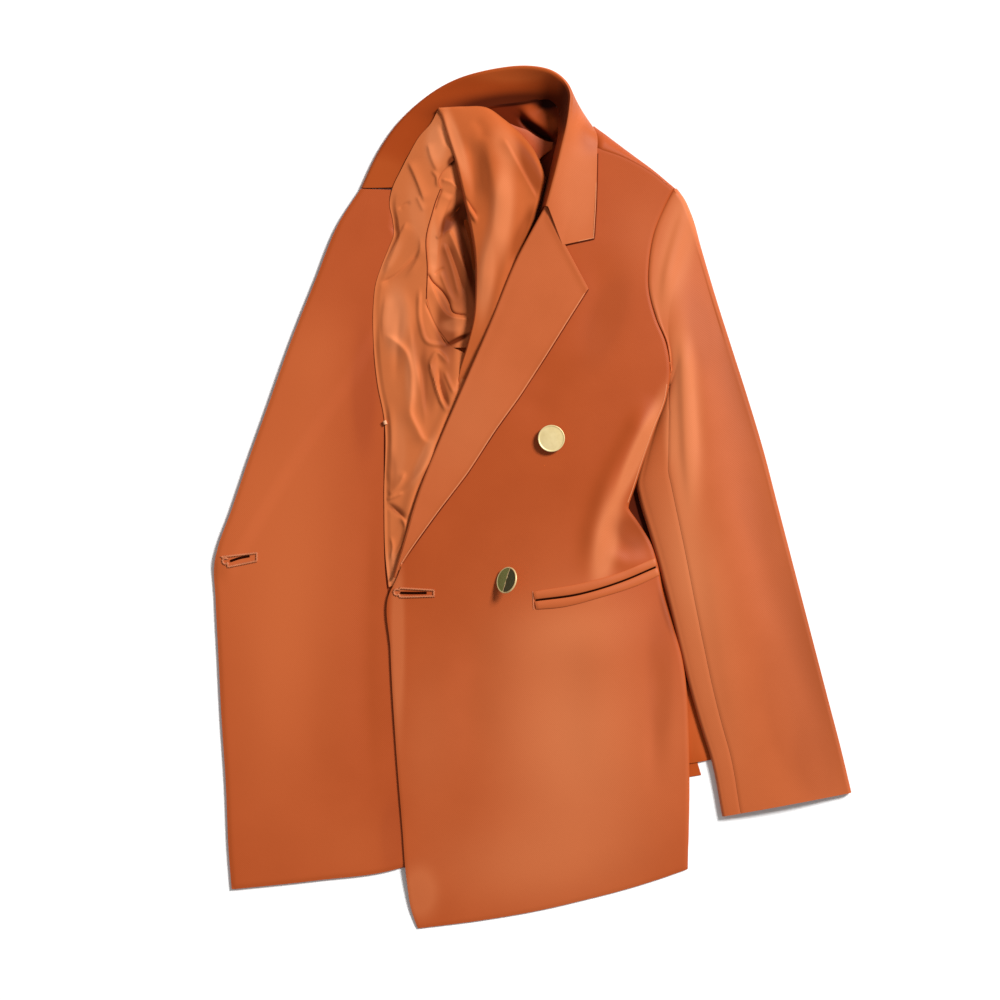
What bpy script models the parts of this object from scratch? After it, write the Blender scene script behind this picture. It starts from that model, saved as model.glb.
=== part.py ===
"""Double breasted blazer, laid on its back, the right front opened out and the right sleeve tucked inside.

The lay plan is drafted in millimetres: +X to the wearer's left, +Y towards the collar, +Z off the table.
Plan sizes are graded by GRADE; heights and walls are true.
Run it with blender --background --python part.py.
"""

import math

import bmesh
import bpy
import numpy as np
from mathutils import Matrix, Vector

# Driving dimensions
GRADE = 0.96  # size built over the size that the lay plan is drafted in
MM = 0.001
CLOTH = 1.8  # suiting fused to its interlining
LINING = 1.0  # satin with its seam allowances
SEAM = 0.3  # gap between pieces that touch
COLLAR_BEND = 2.2  # radius of the collar's roll line
BUTTON_RADIUS = 13.6
WELT_LIFT = 0.9  # a pocket welt's wall

# Heights of the layers that lie flat, to the middle of the cloth
SHELL_Z = CLOTH / 2
FACING_Z = SHELL_Z + CLOTH + SEAM
LAPEL_LAYER = CLOTH + SEAM  # what the turned-under lapel lifts the opened front by
NEST_Z = 5.0  # top of the hidden layers where the lining shows

CLOTH_COLOUR = (0.54, 0.14, 0.055, 1.0)
LINING_COLOUR = (0.62, 0.19, 0.08, 1.0)
GOLD_COLOUR = (0.83, 0.67, 0.36, 1.0)

# Outlines of the left front: (x, y), top to bottom or left to right
SHOULDER_SEAM = [(44, 353), (65, 347.5), (90, 339), (107, 331), (117, 325), (139, 307)]
FRONT_TUCK = [
    (44, 353), (33, 322), (18, 288), (-9, 238), (-36, 174), (-62, 114), (-86, 59), (-108, 4),
    (-124, -46), (-137, -84), (-143, -96), (-142, -153), (-137, -243), (-130, -333), (-124, -383),
    (-115, -431),
]
FRONT_SIDE = [
    (139, 307), (128, 285), (119, 262), (114, 232), (114, 205), (121, 177), (131, 152), (135, 125),
    (131, 99), (119, 67), (108, 35), (99, 7), (93, -11), (97, -28), (108, -47), (120, -64),
    (128, -93), (138, -128), (147, -158), (152, -193), (154, -233), (155, -303), (154, -372),
]
FRONT_HEM = [
    (-115, -431), (-48, -423), (11, -413), (52, -403), (89, -393), (122, -383), (154, -372),
]

# Heights of the left front's cloth: (x, y, rise)
FRONT_PINS = [
    (44, 353, 30), (117, 325, 27), (139, 307, 24), (10, 285, 31), (-17, 235, 28), (-43, 172, 24),
    (-69, 112, 20), (-93, 57, 16.5), (-115, 2, 13.5), (-130, -48, 10.8), (-141, -88, 8.6),
    (-141, -153, 7), (-137, -243, 6.4), (-130, -333, 6.2), (-124, -375, 5.8), (-119, -408, 2.8),
    (-115, -431, 1.5), (-48, -423, 1.5), (11, -413, 1.5), (89, -393, 1.5), (154, -372, 1.5),
    (135, 125, 23), (119, 67, 21.5), (108, 35, 19.5), (93, -11, 16), (109, -47, 9.5), (121, -64, 9),
    (128, -93, 9.5), (147, -158, 8), (154, -233, 6.6), (155, -303, 4), (119, 262, 23.8),
    (114, 205, 23.3), (67, 297, 29), (67, 237, 27), (27, 167, 24.5), (67, 97, 23.5),
    (-13, 47, 19.5), (67, 17, 21), (27, -63, 16.5), (-53, -63, 13.5), (67, -103, 16),
    (107, -143, 13), (7, -183, 12.5), (-73, -183, 9.8), (87, -223, 12), (7, -283, 9.5),
    (107, -303, 7), (-73, -323, 7), (27, -373, 4),
]

# Soft folds of the left front: (x0, y0, x1, y1, width, rise)
FRONT_FOLDS = [
    (128, 92, 70, -20, 13, 2.2),
    (118, 40, 96, -5, 9, 1.6),
    (112, -34, 104, -42, 17, -3.0),
    (-58, -140, -64, -290, 22, -1.0),
    (62, -120, 72, -300, 26, 1.2),
    (20, 150, -8, 60, 24, -1.0),
]

# The left lapel: its roll line and its free edge, gorge to break
LAPEL_ROLL = [
    (10, 285), (-17, 235), (-43, 172), (-69, 112), (-93, 57), (-115, 2), (-130, -48), (-138, -76),
]
LAPEL_EDGE = [
    (54, 206), (37, 179), (12, 139), (-14, 99), (-38, 67), (-68, 24), (-98, -15), (-117, -42),
    (-127, -64),
]
GORGE = [(10, 285), (17, 273), (23, 260), (28, 248), (42, 228), (54, 206)]
BREAK = [(-138, -76), (-127, -64)]
ROLL_RADIUS_TOP = 2.7
ROLL_RADIUS_BREAK = 1.5

# The opened right front, inside up
FACING_EDGE = [
    (-172, 307.6), (-193, 275), (-217, 217), (-241, 157), (-266, 87), (-284, 37), (-301, -13),
    (-315, -52), (-318, -66), (-317, -103), (-314, -163), (-311, -223), (-307, -283), (-304, -353),
    (-301, -392),
]
FACING_INNER = [
    (-140, 306.6), (-147, 291), (-149, 257), (-150, 197), (-149, 97), (-149, -3), (-147, -83),
    (-137, -143), (-129, -263), (-122, -367),
]
FACING_TOP = [(-172, 307.6), (-140, 306.6)]
FACING_HEM = [(-301, -392), (-216, -383), (-138, -372), (-122, -367)]
BREAK_POINT = Vector((-316, -59))
GORGE_POINT = Vector((-172, 310))
# Width of the lapel under the opened front: (share of the way from break to gorge, width)
TURNED_LAPEL = [(0.0, 1.5), (0.27, 19), (0.55, 44), (0.86, 62), (0.93, 30), (0.985, 24)]
LAPEL_STEP = 16  # plan width over which the cloth settles beside the turned lapel

# The collar, right gorge to left gorge. Bend centre x, y, z; heading outwards; the ways that the stand
# and the fall leave the bend, in degrees from outwards towards up; the stand's seam end; the fall's edge.
COLLAR_COLUMNS = ("x", "y", "z", "out", "stand", "fall", "nx", "ny", "nz", "ex", "ey", "ez")
COLLAR_ROWS = [
    (-168.8, 308.3, 3.4, 180, 180, -180, -138.5, 309.0, 5.2, -133, 308.0, 1.0),
    (-151.5, 344.0, 3.4, 152, 180, -180, -127, 337, 6.4, -118, 327, 1.0),
    (-130.5, 374.0, 3.8, 138, 182, -180, -111, 362, 7.6, -99, 345, 1.0),
    (-102.8, 398.6, 5.8, 125, 187, -168, -95, 387, 9.0, -81, 363, 1.0),
    (-75.6, 413.6, 9.5, 113, 191, -145, -68, 385, 11.5, -59, 379, 1.0),
    (-45.2, 423.6, 15.5, 102, 196, -122, -40, 389, 13.5, -36, 397, 1.0),
    (-13.0, 427.8, 23.0, 92, 203, -106, -12, 392, 15.5, -10, 408, 1.0),
    (12.0, 425.7, 31.0, 76, 213, -98, 6, 395, 17.0, 15, 411, 1.0),
    (29.0, 416.5, 38.0, 52, 227, -93, 17, 395, 18.0, 33, 406, 2.0),
    (38.8, 401.0, 42.0, 22, 245, -84, 26, 385, 19.0, 45, 393, 5.0),
    (37.4, 385.0, 43.2, -4, 256, -62, 27, 373, 20.0, 59, 375, 13.0),
    (34.0, 366.0, 42.6, -12, 258, -40, 25, 357, 20.0, 67, 361, 27.0),
    (29.0, 346.0, 41.2, -15, 258, -26, 21, 339, 20.0, 65, 343, 32.6),
    (24.0, 325.0, 39.8, -16, 258, -21, 16, 318, 19.5, 65, 319, 32.4),
    (18.5, 304.0, 38.2, -17, 258, -18, 11, 298, 19.0, 64, 290, 31.4),
    (13.8, 287.0, 36.8, -18, 258, -17, 8, 283, 18.5, 60, 257, 30.6),
]
NOTCH = (28.6, 249.2, 32.6)  # where the gorge seam ends and the collar's front edge begins

# The lining of the body, and of the tucked right sleeve
LINING_LEFT = [
    (-93, 385), (-108, 361), (-124, 336), (-134, 317), (-143, 292), (-149, 261), (-155, 235),
    (-158, 197), (-159, 152), (-155, 112), (-149, 82), (-148.6, -3), (-147, -63), (-144, -90),
]
LINING_RIGHT = [
    (-86, 385), (-78, 352), (-72, 325), (-81, 307), (-90, 301), (-99, 283), (-106, 259),
    (-105, 227), (-106, 197), (-99, 175), (-81, 150), (-67, 142), (-63, 101), (-83, 57), (-105, 2),
    (-120, -48), (-132, -86),
]
LINING_TOP = [(-93, 385), (-86, 385)]
LINING_FOOT = [(-144, -90), (-132, -86)]
LINING_PINS = [
    (-93, 385, 6.8), (-86, 385, 6.4), (-75, 104, 6.2), (-72, 128, 6.2), (-124, 336, 7.2),
    (-143, 292, 6.6), (-149, 261, 6.8), (-155, 235, 7.4), (-158, 197, 7.8), (-159, 152, 7.6),
    (-149, 82, 5.2), (-148.6, -3, 4.8), (-147, -63, 4.6), (-144, -90, 4.6), (-140, 197, 14),
    (-130, 240, 15), (-120, 300, 13), (-108, 340, 12), (-112, 180, 15.5), (-125, 140, 14),
    (-125, 80, 11.5), (-125, 20, 9.5), (-130, -30, 7.5), (-100, 150, 12), (-95, 80, 9),
    (-110, 30, 8), (-90, 301, 15), (-99, 283, 16), (-106, 259, 17), (-105, 227, 17),
    (-106, 197, 16), (-99, 175, 13.5), (-81, 150, 9), (-78, 352, 6.6), (-72, 325, 6.6),
    (-81, 307, 9), (-67, 142, 6.8), (-63, 101, 6.6), (-83, 57, 6.8), (-105, 2, 6.6),
    (-120, -48, 6.3), (-132, -86, 5.2), (-80, 332, 6.4), (-85, 318, 6.9),
]
LINING_FOLDS = [
    (-146, 190, -118, 172, 5, 1.8),
    (-118, 172, -112, 110, 5, 2.0),
    (-112, 110, -102, 66, 5, 1.6),
    (-140, 230, -112, 262, 5, 1.6),
    (-118, 330, -104, 292, 4, -1.6),
    (-90, 150, -92, 100, 5, 1.4),
    (-142, 8, -124, 40, 5, 1.4),
]
SLEEVE_LINING_LEFT = [
    (-71, 324), (-80, 306), (-89, 300), (-98, 282), (-105, 258), (-104, 227), (-105, 197),
    (-98, 175), (-80, 149),
]
SLEEVE_LINING_RIGHT = [(-64, 324), (-56, 280), (-50, 242), (-49, 207), (-51, 177), (-58, 149)]
SLEEVE_LINING_TOP = [(-71, 324), (-64, 324)]
SLEEVE_LINING_FOOT = [(-80, 149), (-58, 149)]
SLEEVE_LINING_PINS = [
    (-71, 324, 6.4), (-89, 300, 11), (-98, 282, 12.6), (-105, 258, 13.8), (-104, 227, 13.8),
    (-105, 197, 12.8), (-98, 175, 10.6), (-80, 149, 6.6), (-64, 324, 6.2), (-66, 298, 6.3),
    (-61, 272, 6.2), (-56, 280, 6.2), (-50, 242, 6.2), (-49, 207, 6.2), (-51, 177, 6.2),
    (-58, 149, 6.2), (-84, 240, 9.5), (-72, 262, 7), (-78, 200, 9), (-64, 210, 6.8),
]
SLEEVE_LINING_FOLDS = [
    (-88, 256, -74, 196, 3.5, 1.8),
    (-94, 262, -84, 200, 3.0, 1.2),
    (-92, 182, -72, 179, 4.0, 2.2),
]

# The back's neck facing, inside the collar
NECK_TOP = [(-66, 382), (-40, 387), (-12, 390.6), (5.5, 393.4), (16.5, 393.4), (24.6, 384.5)]
NECK_RIGHT = [(24.6, 384.5), (25.4, 373), (23.5, 357), (19.5, 339), (14.5, 318), (10, 300)]
NECK_LEFT = [(-66, 382), (-57, 347), (-50, 318)]
NECK_FOOT = [(-50, 318), (-20, 310), (10, 300)]
NECK_PINS = [
    (-93, 389, 11), (-66, 382, 10.6), (-40, 387, 12.8), (-12, 390, 14.6), (5, 393, 16),
    (16, 393, 17), (24, 384, 17.6), (25, 372, 17), (23.5, 357, 14.5), (19.5, 339, 11),
    (14.5, 318, 8.2), (10, 300, 7), (-50, 318, 6.7), (-20, 310, 6.7), (-57, 347, 6.8),
    (-40, 352, 6.8), (-15, 358, 7), (4, 345, 7.2), (-20, 330, 6.7), (5, 318, 7),
]

# The tucked right sleeve: outline, heights and folds of its top
TUCKED_TOP = [(-93, 389), (-70, 390), (-46, 387), (-30, 378), (-13, 363), (1, 346), (4, 327)]
TUCKED_LEFT = [
    (-93, 389), (-86, 362), (-77, 332), (-69, 302), (-62, 272), (-57, 242), (-56, 207), (-58, 177),
    (-64, 152), (-73, 122), (-76, 101),
]
TUCKED_RIGHT = [(4, 327), (3, 307), (0, 285), (-9, 249), (-24, 209), (-46, 157), (-66, 101)]
TUCKED_FOOT = [(-76, 101), (-66, 101)]
TUCKED_PINS = [
    (-84, 376, 22), (-60, 378, 26), (-40, 372, 28), (-66, 330, 27), (-48, 345, 30), (-28, 352, 32),
    (-35, 300, 33), (-14, 330, 31), (4, 325, 27), (-54, 285, 27), (-32, 255, 30), (-8, 290, 28),
    (4, 285, 26), (-8, 250, 25), (-46, 220, 25), (-28, 212, 23), (-48, 180, 21), (-44, 160, 19),
    (-58, 140, 16), (-66, 115, 12), (-70, 101, 9),
]
TUCKED_FOLDS = [
    (-56, 372, -46, 344, 6, -3.2),
    (-46, 344, -54, 282, 7, -4.6),
    (-30, 330, -36, 232, 10, 3.0),
    (-76, 350, -60, 290, 6, 2.0),
    (-8, 322, -2, 296, 9, -2.5),
]
TUCKED_BASE = 7.8
TUCKED_OVER_NECK = 2.2  # how far the heap's underside stays above the neck facing
TUCKED_ROUND = 0.16  # share of the width and length over which the heap rounds off
UNDERFOLD = Vector((7, -3))  # how far the heap's lower layer shows past its upper right edge
# Down the side of a heap: share of its height, inset, and whether this is the lower layer
TUCKED_LEVELS = [(0.62, -0.4, False), (0.42, 0, False), (0.38, 0, True), (0.2, -0.4, True), (0, 0, False)]

# Hidden layers: the back, the side and what is folded behind the left front
BACK_TOP = [
    (-135, 306), (-97, 333), (-58, 366), (-30, 378), (0, 384), (24, 378), (38, 362), (58, 343),
    (88, 323), (112, 306), (139, 296),
]
BACK_LEFT = [
    (-135, 306), (-130, 285), (-126, 250), (-128, 205), (-140, 150), (-146, 97), (-146, -3),
    (-144, -83), (-134, -143), (-124, -240), (-114, -292),
]
BACK_RIGHT_TOP = [(139, 296), (137, 240), (134.5, 180), (131, 140)]
BACK_HEM = [(-114, -292), (-20, -284), (90, -268), (157, -266), (176.3, -263)]
BESIDE_SLEEVE = 1.7  # plan distance from the sleeve's folded edge to the layers beside it
BACK_CLEARANCE = 2.7  # from the middle of the front's cloth down to the layers below it
LEDGE = Vector((-8, -15))  # how far the back's lower layer hangs out below its hem
BACK_LEVELS = [
    (0.78, -0.6, False), (0.52, 0.3, False), (0.48, 0.3, True), (0.25, -0.3, True), (0, 0.4, True),
]
ROLL_VALLEY = (20, 52)  # plan distance from the roll line over which the hidden layers rise
SIDE_VALLEY = 16  # plan distance over which they rise from their left and right edges
SIDE_Z = 3.0

# The back's shoulder, from its seam over the edge to the table: the outermost line
BACK_SHOULDER = [(73, 362.5), (93, 347.5), (107, 337), (118, 328), (140.5, 310)]
BACK_SHOULDER_START = 0.23  # share of the shoulder seam that the collar hides
SHOULDER_GAP = 1.3

# The left sleeve. Folded edges from underarm and shoulder to cuff, and the armhole seam between them
SLEEVE_LEFT = [
    (133.5, 122), (126, 96), (116, 66), (107, 34), (103, 12), (106, -3), (115, -33), (124, -63),
    (132, -93), (147, -153), (157, -193), (167, -228), (178, -263), (189, -319),
]
SLEEVE_RIGHT = [
    (146, 309), (151, 300), (158, 281), (168, 247), (183, 197), (199, 147), (215, 97), (230, 47),
    (243, -3), (256, -53), (269, -103), (282, -153), (295, -203), (308, -253), (318, -295),
]
ARMHOLE = [
    (137.2, 123), (133.4, 153), (123.2, 178), (116, 205.2), (116, 232), (120.9, 261.2),
    (129.9, 284.3), (138.6, 301), (141.4, 305.6),
]
# Sections of the sleeve, fanned about the underarm: share of the rows, share down the left and right folded
# edges, thickness at those edges, crown between them, and where the front seam crosses
SLEEVE_COLUMNS = ("row", "left_at", "right_at", "left_fold", "right_fold", "crown", "seam")
SLEEVE_ROWS = [
    (0.00, 0.000, 0.00, 23.9, 24.9, 0.0, 0.00),
    (0.10, 0.018, 0.09, 18.5, 19.0, 5.0, 0.01),
    (0.20, 0.040, 0.18, 15.5, 15.0, 8.5, 0.06),
    (0.30, 0.110, 0.28, 13.0, 12.0, 9.5, 0.16),
    (0.40, 0.220, 0.38, 11.5, 10.5, 9.0, 0.24),
    (0.50, 0.330, 0.48, 11.0, 10.0, 8.0, 0.22),
    (0.65, 0.520, 0.64, 9.8, 9.0, 6.0, 0.17),
    (0.80, 0.720, 0.79, 8.8, 8.4, 5.0, 0.145),
    (1.00, 1.000, 1.00, 8.0, 8.0, 4.0, 0.117),
]
UNDER_SEAM = 0.82  # the back seam, on the underside
PART_TURN = math.radians(60)  # where the top piece is parted into two solids, round its folded edge
PART_EASE = math.radians(8)
STRIP_GAP = 0.6  # between the turn and the strip below it
FOLD_REACH = 4.6  # a folded edge is at most this deep in plan
UNDERARM_ROWS = 4  # rows of the top piece before the under piece begins, below the underarm
UNDERARM_EASE = 1.2  # the front seam's extra gap where it turns down at the underarm
ARMHOLE_FADE = 0.3  # share of the rows over which the armhole's curve straightens out
SLEEVE_FOLDS = [
    (160, 250, 150, 190, 9, 1.6), (156, 130, 156, -20, 9, 1.6), (205, 60, 240, -140, 16, -1.0),
]

# Pocket welts and buttons on the left front
WELT_TOP = [(0, -94), (47, -86), (87, -75), (119, -62)]
WELT_MIDDLE = [(1.5, -103), (47, -96.5), (87, -84.5), (121, -70.5)]
WELT_FOOT = [(3, -112), (27, -110), (67, -100), (107, -87), (124, -79)]
# Down the button's section: share of its radius, height
BUTTON_FACE = [(0, 2.6), (0.55, 2.5), (0.86, 2.2), (0.93, 2.9), (1, 2.4), (1, 1.3), (0.9, 0.4), (0.5, 0)]
BUTTON_COLUMNS = ("name", "x", "y", "lift", "tilt", "heading", "shank")
BUTTON_PLACES = [
    ("button_upper", 18, 58, 4.2, 0, 0, 3.8),
    ("button_lower", -25, -83, 8.9, 46, 163, 8.8),
]


def curve(points, count):
    """count plan points evenly along a smooth line through the given ones."""
    knots = np.array(points, float)
    if len(knots) == 2:
        return [tuple(knots[0] + (knots[1] - knots[0]) * i / (count - 1)) for i in range(count)]
    chords = np.sqrt(((knots[1:] - knots[:-1]) ** 2).sum(1))
    at = np.concatenate([[0], np.cumsum(chords)])
    slopes = np.gradient(knots, at, axis=0)
    wanted = np.linspace(0, at[-1], count)
    span = np.clip(np.searchsorted(at, wanted, side="right") - 1, 0, len(chords) - 1)
    t = ((wanted - at[span]) / chords[span])[:, None]
    chord = chords[span][:, None]
    a, b, da, db = knots[span], knots[span + 1], slopes[span] * chord, slopes[span + 1] * chord
    smooth = (2 * t**3 - 3 * t**2 + 1) * a + (t**3 - 2 * t**2 + t) * da
    smooth += (3 * t**2 - 2 * t**3) * b + (t**3 - t**2) * db
    return [tuple(p) for p in smooth]


def table_value(rows, share, column=1):
    """A column of a table at a share of the way down it."""
    return float(np.interp(share, [r[0] for r in rows], [r[column] for r in rows]))


def along_line(line, share):
    """The plan point at a share of the way along a line of even steps."""
    at = share * (len(line) - 1)
    k = min(int(at), len(line) - 2)
    return Vector(line[k]).lerp(Vector(line[k + 1]), at - k)


def smooth_step(value):
    """0 below 0, 1 above 1 and a soft S between."""
    held = min(max(value, 0.0), 1.0)
    return held * held * (3 - 2 * held)


def pinned_surface(pins):
    """A thin-plate surface through (x, y, rise) pins, as a function of x and y."""
    points = np.array(pins, float)
    plan, rise = points[:, :2], points[:, 2]

    def kernel(squared):
        return 0.5 * squared * np.log(np.maximum(squared, 1e-9))

    count = len(points)
    squared = ((plan[:, None] - plan[None]) ** 2).sum(2)
    system = np.zeros((count + 3, count + 3))
    system[:count, :count] = kernel(squared) + np.eye(count) * 4.0
    system[:count, count:] = np.column_stack([np.ones(count), plan])
    system[count:, :count] = system[:count, count:].T
    weights = np.linalg.solve(system, np.concatenate([rise, np.zeros(3)]))

    def height(x, y):
        near = kernel(((plan - (x, y)) ** 2).sum(1))
        level = weights[count] + weights[count + 1] * x + weights[count + 2] * y
        return float(near @ weights[:count] + level)

    return height


def fold_relief(folds, x, y):
    """What the soft folds in a table add to the cloth's height at a point."""
    total = 0.0
    for x0, y0, x1, y1, width, rise in folds:
        run = Vector((x1 - x0, y1 - y0))
        along = Vector((x - x0, y - y0)).dot(run) / run.length_squared
        nearest = Vector((x0, y0)) + run * min(max(along, 0.0), 1.0)
        away = (Vector((x, y)) - nearest).length
        total += rise * math.exp(-((away / width) ** 2))
    return total


def plan_patch(top, foot, left, right, across, down):
    """A grid of plan points filled in between four outlines."""
    top_line, foot_line = curve(top, across), curve(foot, across)
    left_line, right_line = curve(left, down), curve(right, down)
    rows = []
    for j in range(down):
        v = j / (down - 1)
        row = []
        for i in range(across):
            u = i / (across - 1)
            point = []
            for axis in (0, 1):
                edges = (1 - v) * top_line[i][axis] + v * foot_line[i][axis]
                edges += (1 - u) * left_line[j][axis] + u * right_line[j][axis]
                corners = (1 - u) * ((1 - v) * top_line[0][axis] + v * foot_line[0][axis])
                corners += u * ((1 - v) * top_line[-1][axis] + v * foot_line[-1][axis])
                point.append(edges - corners)
            row.append(tuple(point))
        rows.append(row)
    return rows


def raised(rows, height):
    """A plan grid lifted by a height function of x and y."""
    return [[(x, y, height(x, y)) for x, y in row] for row in rows]


def built(x, y, z):
    """A drafted point in metres at the size built."""
    return Vector((x * GRADE * MM, y * GRADE * MM, z * MM))


def material(name, colour, roughness, metallic=0.0):
    made = bpy.data.materials.get(name)
    if made is None:
        made = bpy.data.materials.new(name)
        made.use_nodes = True
        shader = made.node_tree.nodes["Principled BSDF"]
        shader.inputs["Base Color"].default_value = colour
        shader.inputs["Roughness"].default_value = roughness
        shader.inputs["Metallic"].default_value = metallic
    return made


def suiting():
    return material("suiting", CLOTH_COLOUR, 0.62)


def satin():
    return material("satin", LINING_COLOUR, 0.36)


def gold():
    return material("gold", GOLD_COLOUR, 0.22, 1.0)


def finish_object(name, shape, finish):
    """Turns a bmesh into a named object with its material."""
    bmesh.ops.recalc_face_normals(shape, faces=shape.faces)
    mesh = bpy.data.meshes.new(name)
    shape.to_mesh(mesh)
    shape.free()
    mesh.shade_smooth()
    mesh.materials.append(finish)
    piece = bpy.data.objects.new(name, mesh)
    bpy.context.scene.collection.objects.link(piece)
    return piece


def cloth_sheet(name, grid, wall, finish):
    """A wall of cloth over a grid of points in the middle of its thickness."""
    shape = bmesh.new()
    rows = [[shape.verts.new(built(*point)) for point in row] for row in grid]
    for upper, lower in zip(rows, rows[1:]):
        for i in range(len(upper) - 1):
            shape.faces.new((upper[i], lower[i], lower[i + 1], upper[i + 1]))
    piece = finish_object(name, shape, finish)
    thicken = piece.modifiers.new("cloth wall", "SOLIDIFY")
    thicken.thickness = wall * MM
    thicken.offset = 0.0
    return piece


def grid_rim(rows):
    """The points round a grid, as (row, column) indices in order."""
    down, across = len(rows), len(rows[0])
    rim = [(0, i) for i in range(across)]
    rim += [(j, across - 1) for j in range(1, down)]
    rim += [(down - 1, i) for i in range(across - 2, -1, -1)]
    rim += [(j, 0) for j in range(down - 2, 0, -1)]
    return rim


def layered_heap(name, rows, height, base, levels, ledge, finish):
    """Folded layers as one rounded solid. base is its underside, a height or a function of x and y;
    levels are (share of the height, inset, whether the ledge is added); ledge gives the lower layer's
    plan shift."""
    under = base if callable(base) else (lambda x, y: base)
    shape = bmesh.new()
    top = [[shape.verts.new(built(x, y, height(x, y, j, i))) for i, (x, y) in enumerate(row)]
           for j, row in enumerate(rows)]
    for upper, lower in zip(top, top[1:]):
        for i in range(len(upper) - 1):
            shape.faces.new((upper[i], lower[i], lower[i + 1], upper[i + 1]))
    rim = grid_rim(rows)
    rim_points = [Vector(rows[j][i]) for j, i in rim]
    ring = [top[j][i] for j, i in rim]
    count = len(rim)
    for share, inset, on_ledge in levels:
        below = []
        for k, (j, i) in enumerate(rim):
            before, after = rim_points[k - 1], rim_points[(k + 1) % count]
            way = (after - before).normalized()
            inwards = Vector((way.y, -way.x))
            spot = rim_points[k] + inwards * inset
            if on_ledge:
                spot = spot + ledge(j, i)
            low = under(*rim_points[k])
            z = low + (height(*rim_points[k], j, i) - low) * share
            below.append(shape.verts.new(built(spot.x, spot.y, z)))
        for k in range(count):
            shape.faces.new((ring[k], ring[(k + 1) % count], below[(k + 1) % count], below[k]))
        ring = below
    if callable(base):
        at = dict(zip(rim, ring))
        floor = []
        for j, row in enumerate(rows):
            floor.append([at.get((j, i)) or shape.verts.new(built(x, y, base(x, y)))
                          for i, (x, y) in enumerate(row)])
        for upper, lower in zip(floor, floor[1:]):
            for i in range(len(upper) - 1):
                shape.faces.new((upper[i], upper[i + 1], lower[i + 1], lower[i]))
    else:
        shape.faces.new(ring)
    return finish_object(name, shape, finish)


front_rise = pinned_surface(FRONT_PINS)
lining_rise = pinned_surface(LINING_PINS)
sleeve_lining_rise = pinned_surface(SLEEVE_LINING_PINS)
neck_rise = pinned_surface(NECK_PINS)
tucked_rise = pinned_surface(TUCKED_PINS)


def front_height(x, y):
    return max(front_rise(x, y) + fold_relief(FRONT_FOLDS, x, y), SHELL_Z)


def lining_height(x, y):
    return lining_rise(x, y) + fold_relief(LINING_FOLDS, x, y)


def sleeve_lining_height(x, y):
    return max(sleeve_lining_rise(x, y) + fold_relief(SLEEVE_LINING_FOLDS, x, y), NEST_Z + LINING)


def tucked_base(x, y):
    """The underside of the tucked sleeve, clear of the neck facing."""
    return max(TUCKED_BASE, neck_rise(x, y) + TUCKED_OVER_NECK)


def roll_distance(x, y):
    """Plan distance from the left lapel's roll line, positive on the front's side."""
    best, side = 1e9, 1.0
    for (ax, ay), (bx, by) in zip(ROLL_PATH, ROLL_PATH[1:]):
        run = Vector((bx - ax, by - ay))
        share = min(max(Vector((x - ax, y - ay)).dot(run) / run.length_squared, 0.0), 1.0)
        away = Vector((x, y)) - Vector((ax, ay)) - run * share
        if away.length < best:
            best = away.length
            side = 1.0 if run.x * away.y - run.y * away.x > 0 else -1.0
    return best * side


ROLL_PATH = [(44, 360)] + LAPEL_ROLL + [(-142, -153)]


def turned_lapel_cover(x, y):
    """1 over the lapel that is turned under the opened front, falling to 0 beside it."""
    run = GORGE_POINT - BREAK_POINT
    way = run.normalized()
    offset = Vector((x, y)) - BREAK_POINT
    share = offset.dot(way) / run.length
    inside = offset.dot(Vector((way.y, -way.x)))
    width = table_value(TURNED_LAPEL, share)
    along = smooth_step((share + 0.06) / 0.06)
    return along * (1 - smooth_step((inside - width - 9) / LAPEL_STEP))


def left_front():
    rows = plan_patch(SHOULDER_SEAM, FRONT_HEM, FRONT_TUCK, FRONT_SIDE, 15, 34)
    return cloth_sheet("front_left", raised(rows, front_height), CLOTH, suiting())


def left_lapel():
    """The lapel, from its free edge over the roll line to the front's tucked edge."""
    flat_steps, bend_steps, down = 5, 4, 22
    rows = plan_patch(GORGE, BREAK, LAPEL_ROLL, LAPEL_EDGE, flat_steps + 1, down)
    roll_line = curve(LAPEL_ROLL, down)
    grid = []
    for j, row in enumerate(rows):
        share = j / (down - 1)
        radius = ROLL_RADIUS_TOP + (ROLL_RADIUS_BREAK - ROLL_RADIUS_TOP) * share
        roll = Vector(row[0])
        away = inward_normal(roll_line, share, 1)
        centre = roll + away * (CLOTH / 2 + radius)
        low = front_height(*centre) + 0.2
        line = []
        for k in range(bend_steps + 1):
            turn = math.pi * k / bend_steps
            spot = centre - away * radius * math.sin(turn)
            line.append((spot.x, spot.y, low + radius * (1 - math.cos(turn))))
        for i in range(1, flat_steps + 1):
            flat = i / flat_steps
            spot = Vector(row[i])
            if (Vector(row[1]) - roll).length < 3 * radius:
                spot = centre.lerp(Vector(row[-1]), flat)
            lying = front_height(*spot) + CLOTH + SEAM + 0.2
            soft = (2 * radius - CLOTH - SEAM) * (1 - flat) ** 2
            line.append((spot.x, spot.y, lying + max(soft, 0.0)))
        grid.append(line)
    return cloth_sheet("lapel_left", grid, CLOTH, suiting())


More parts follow.
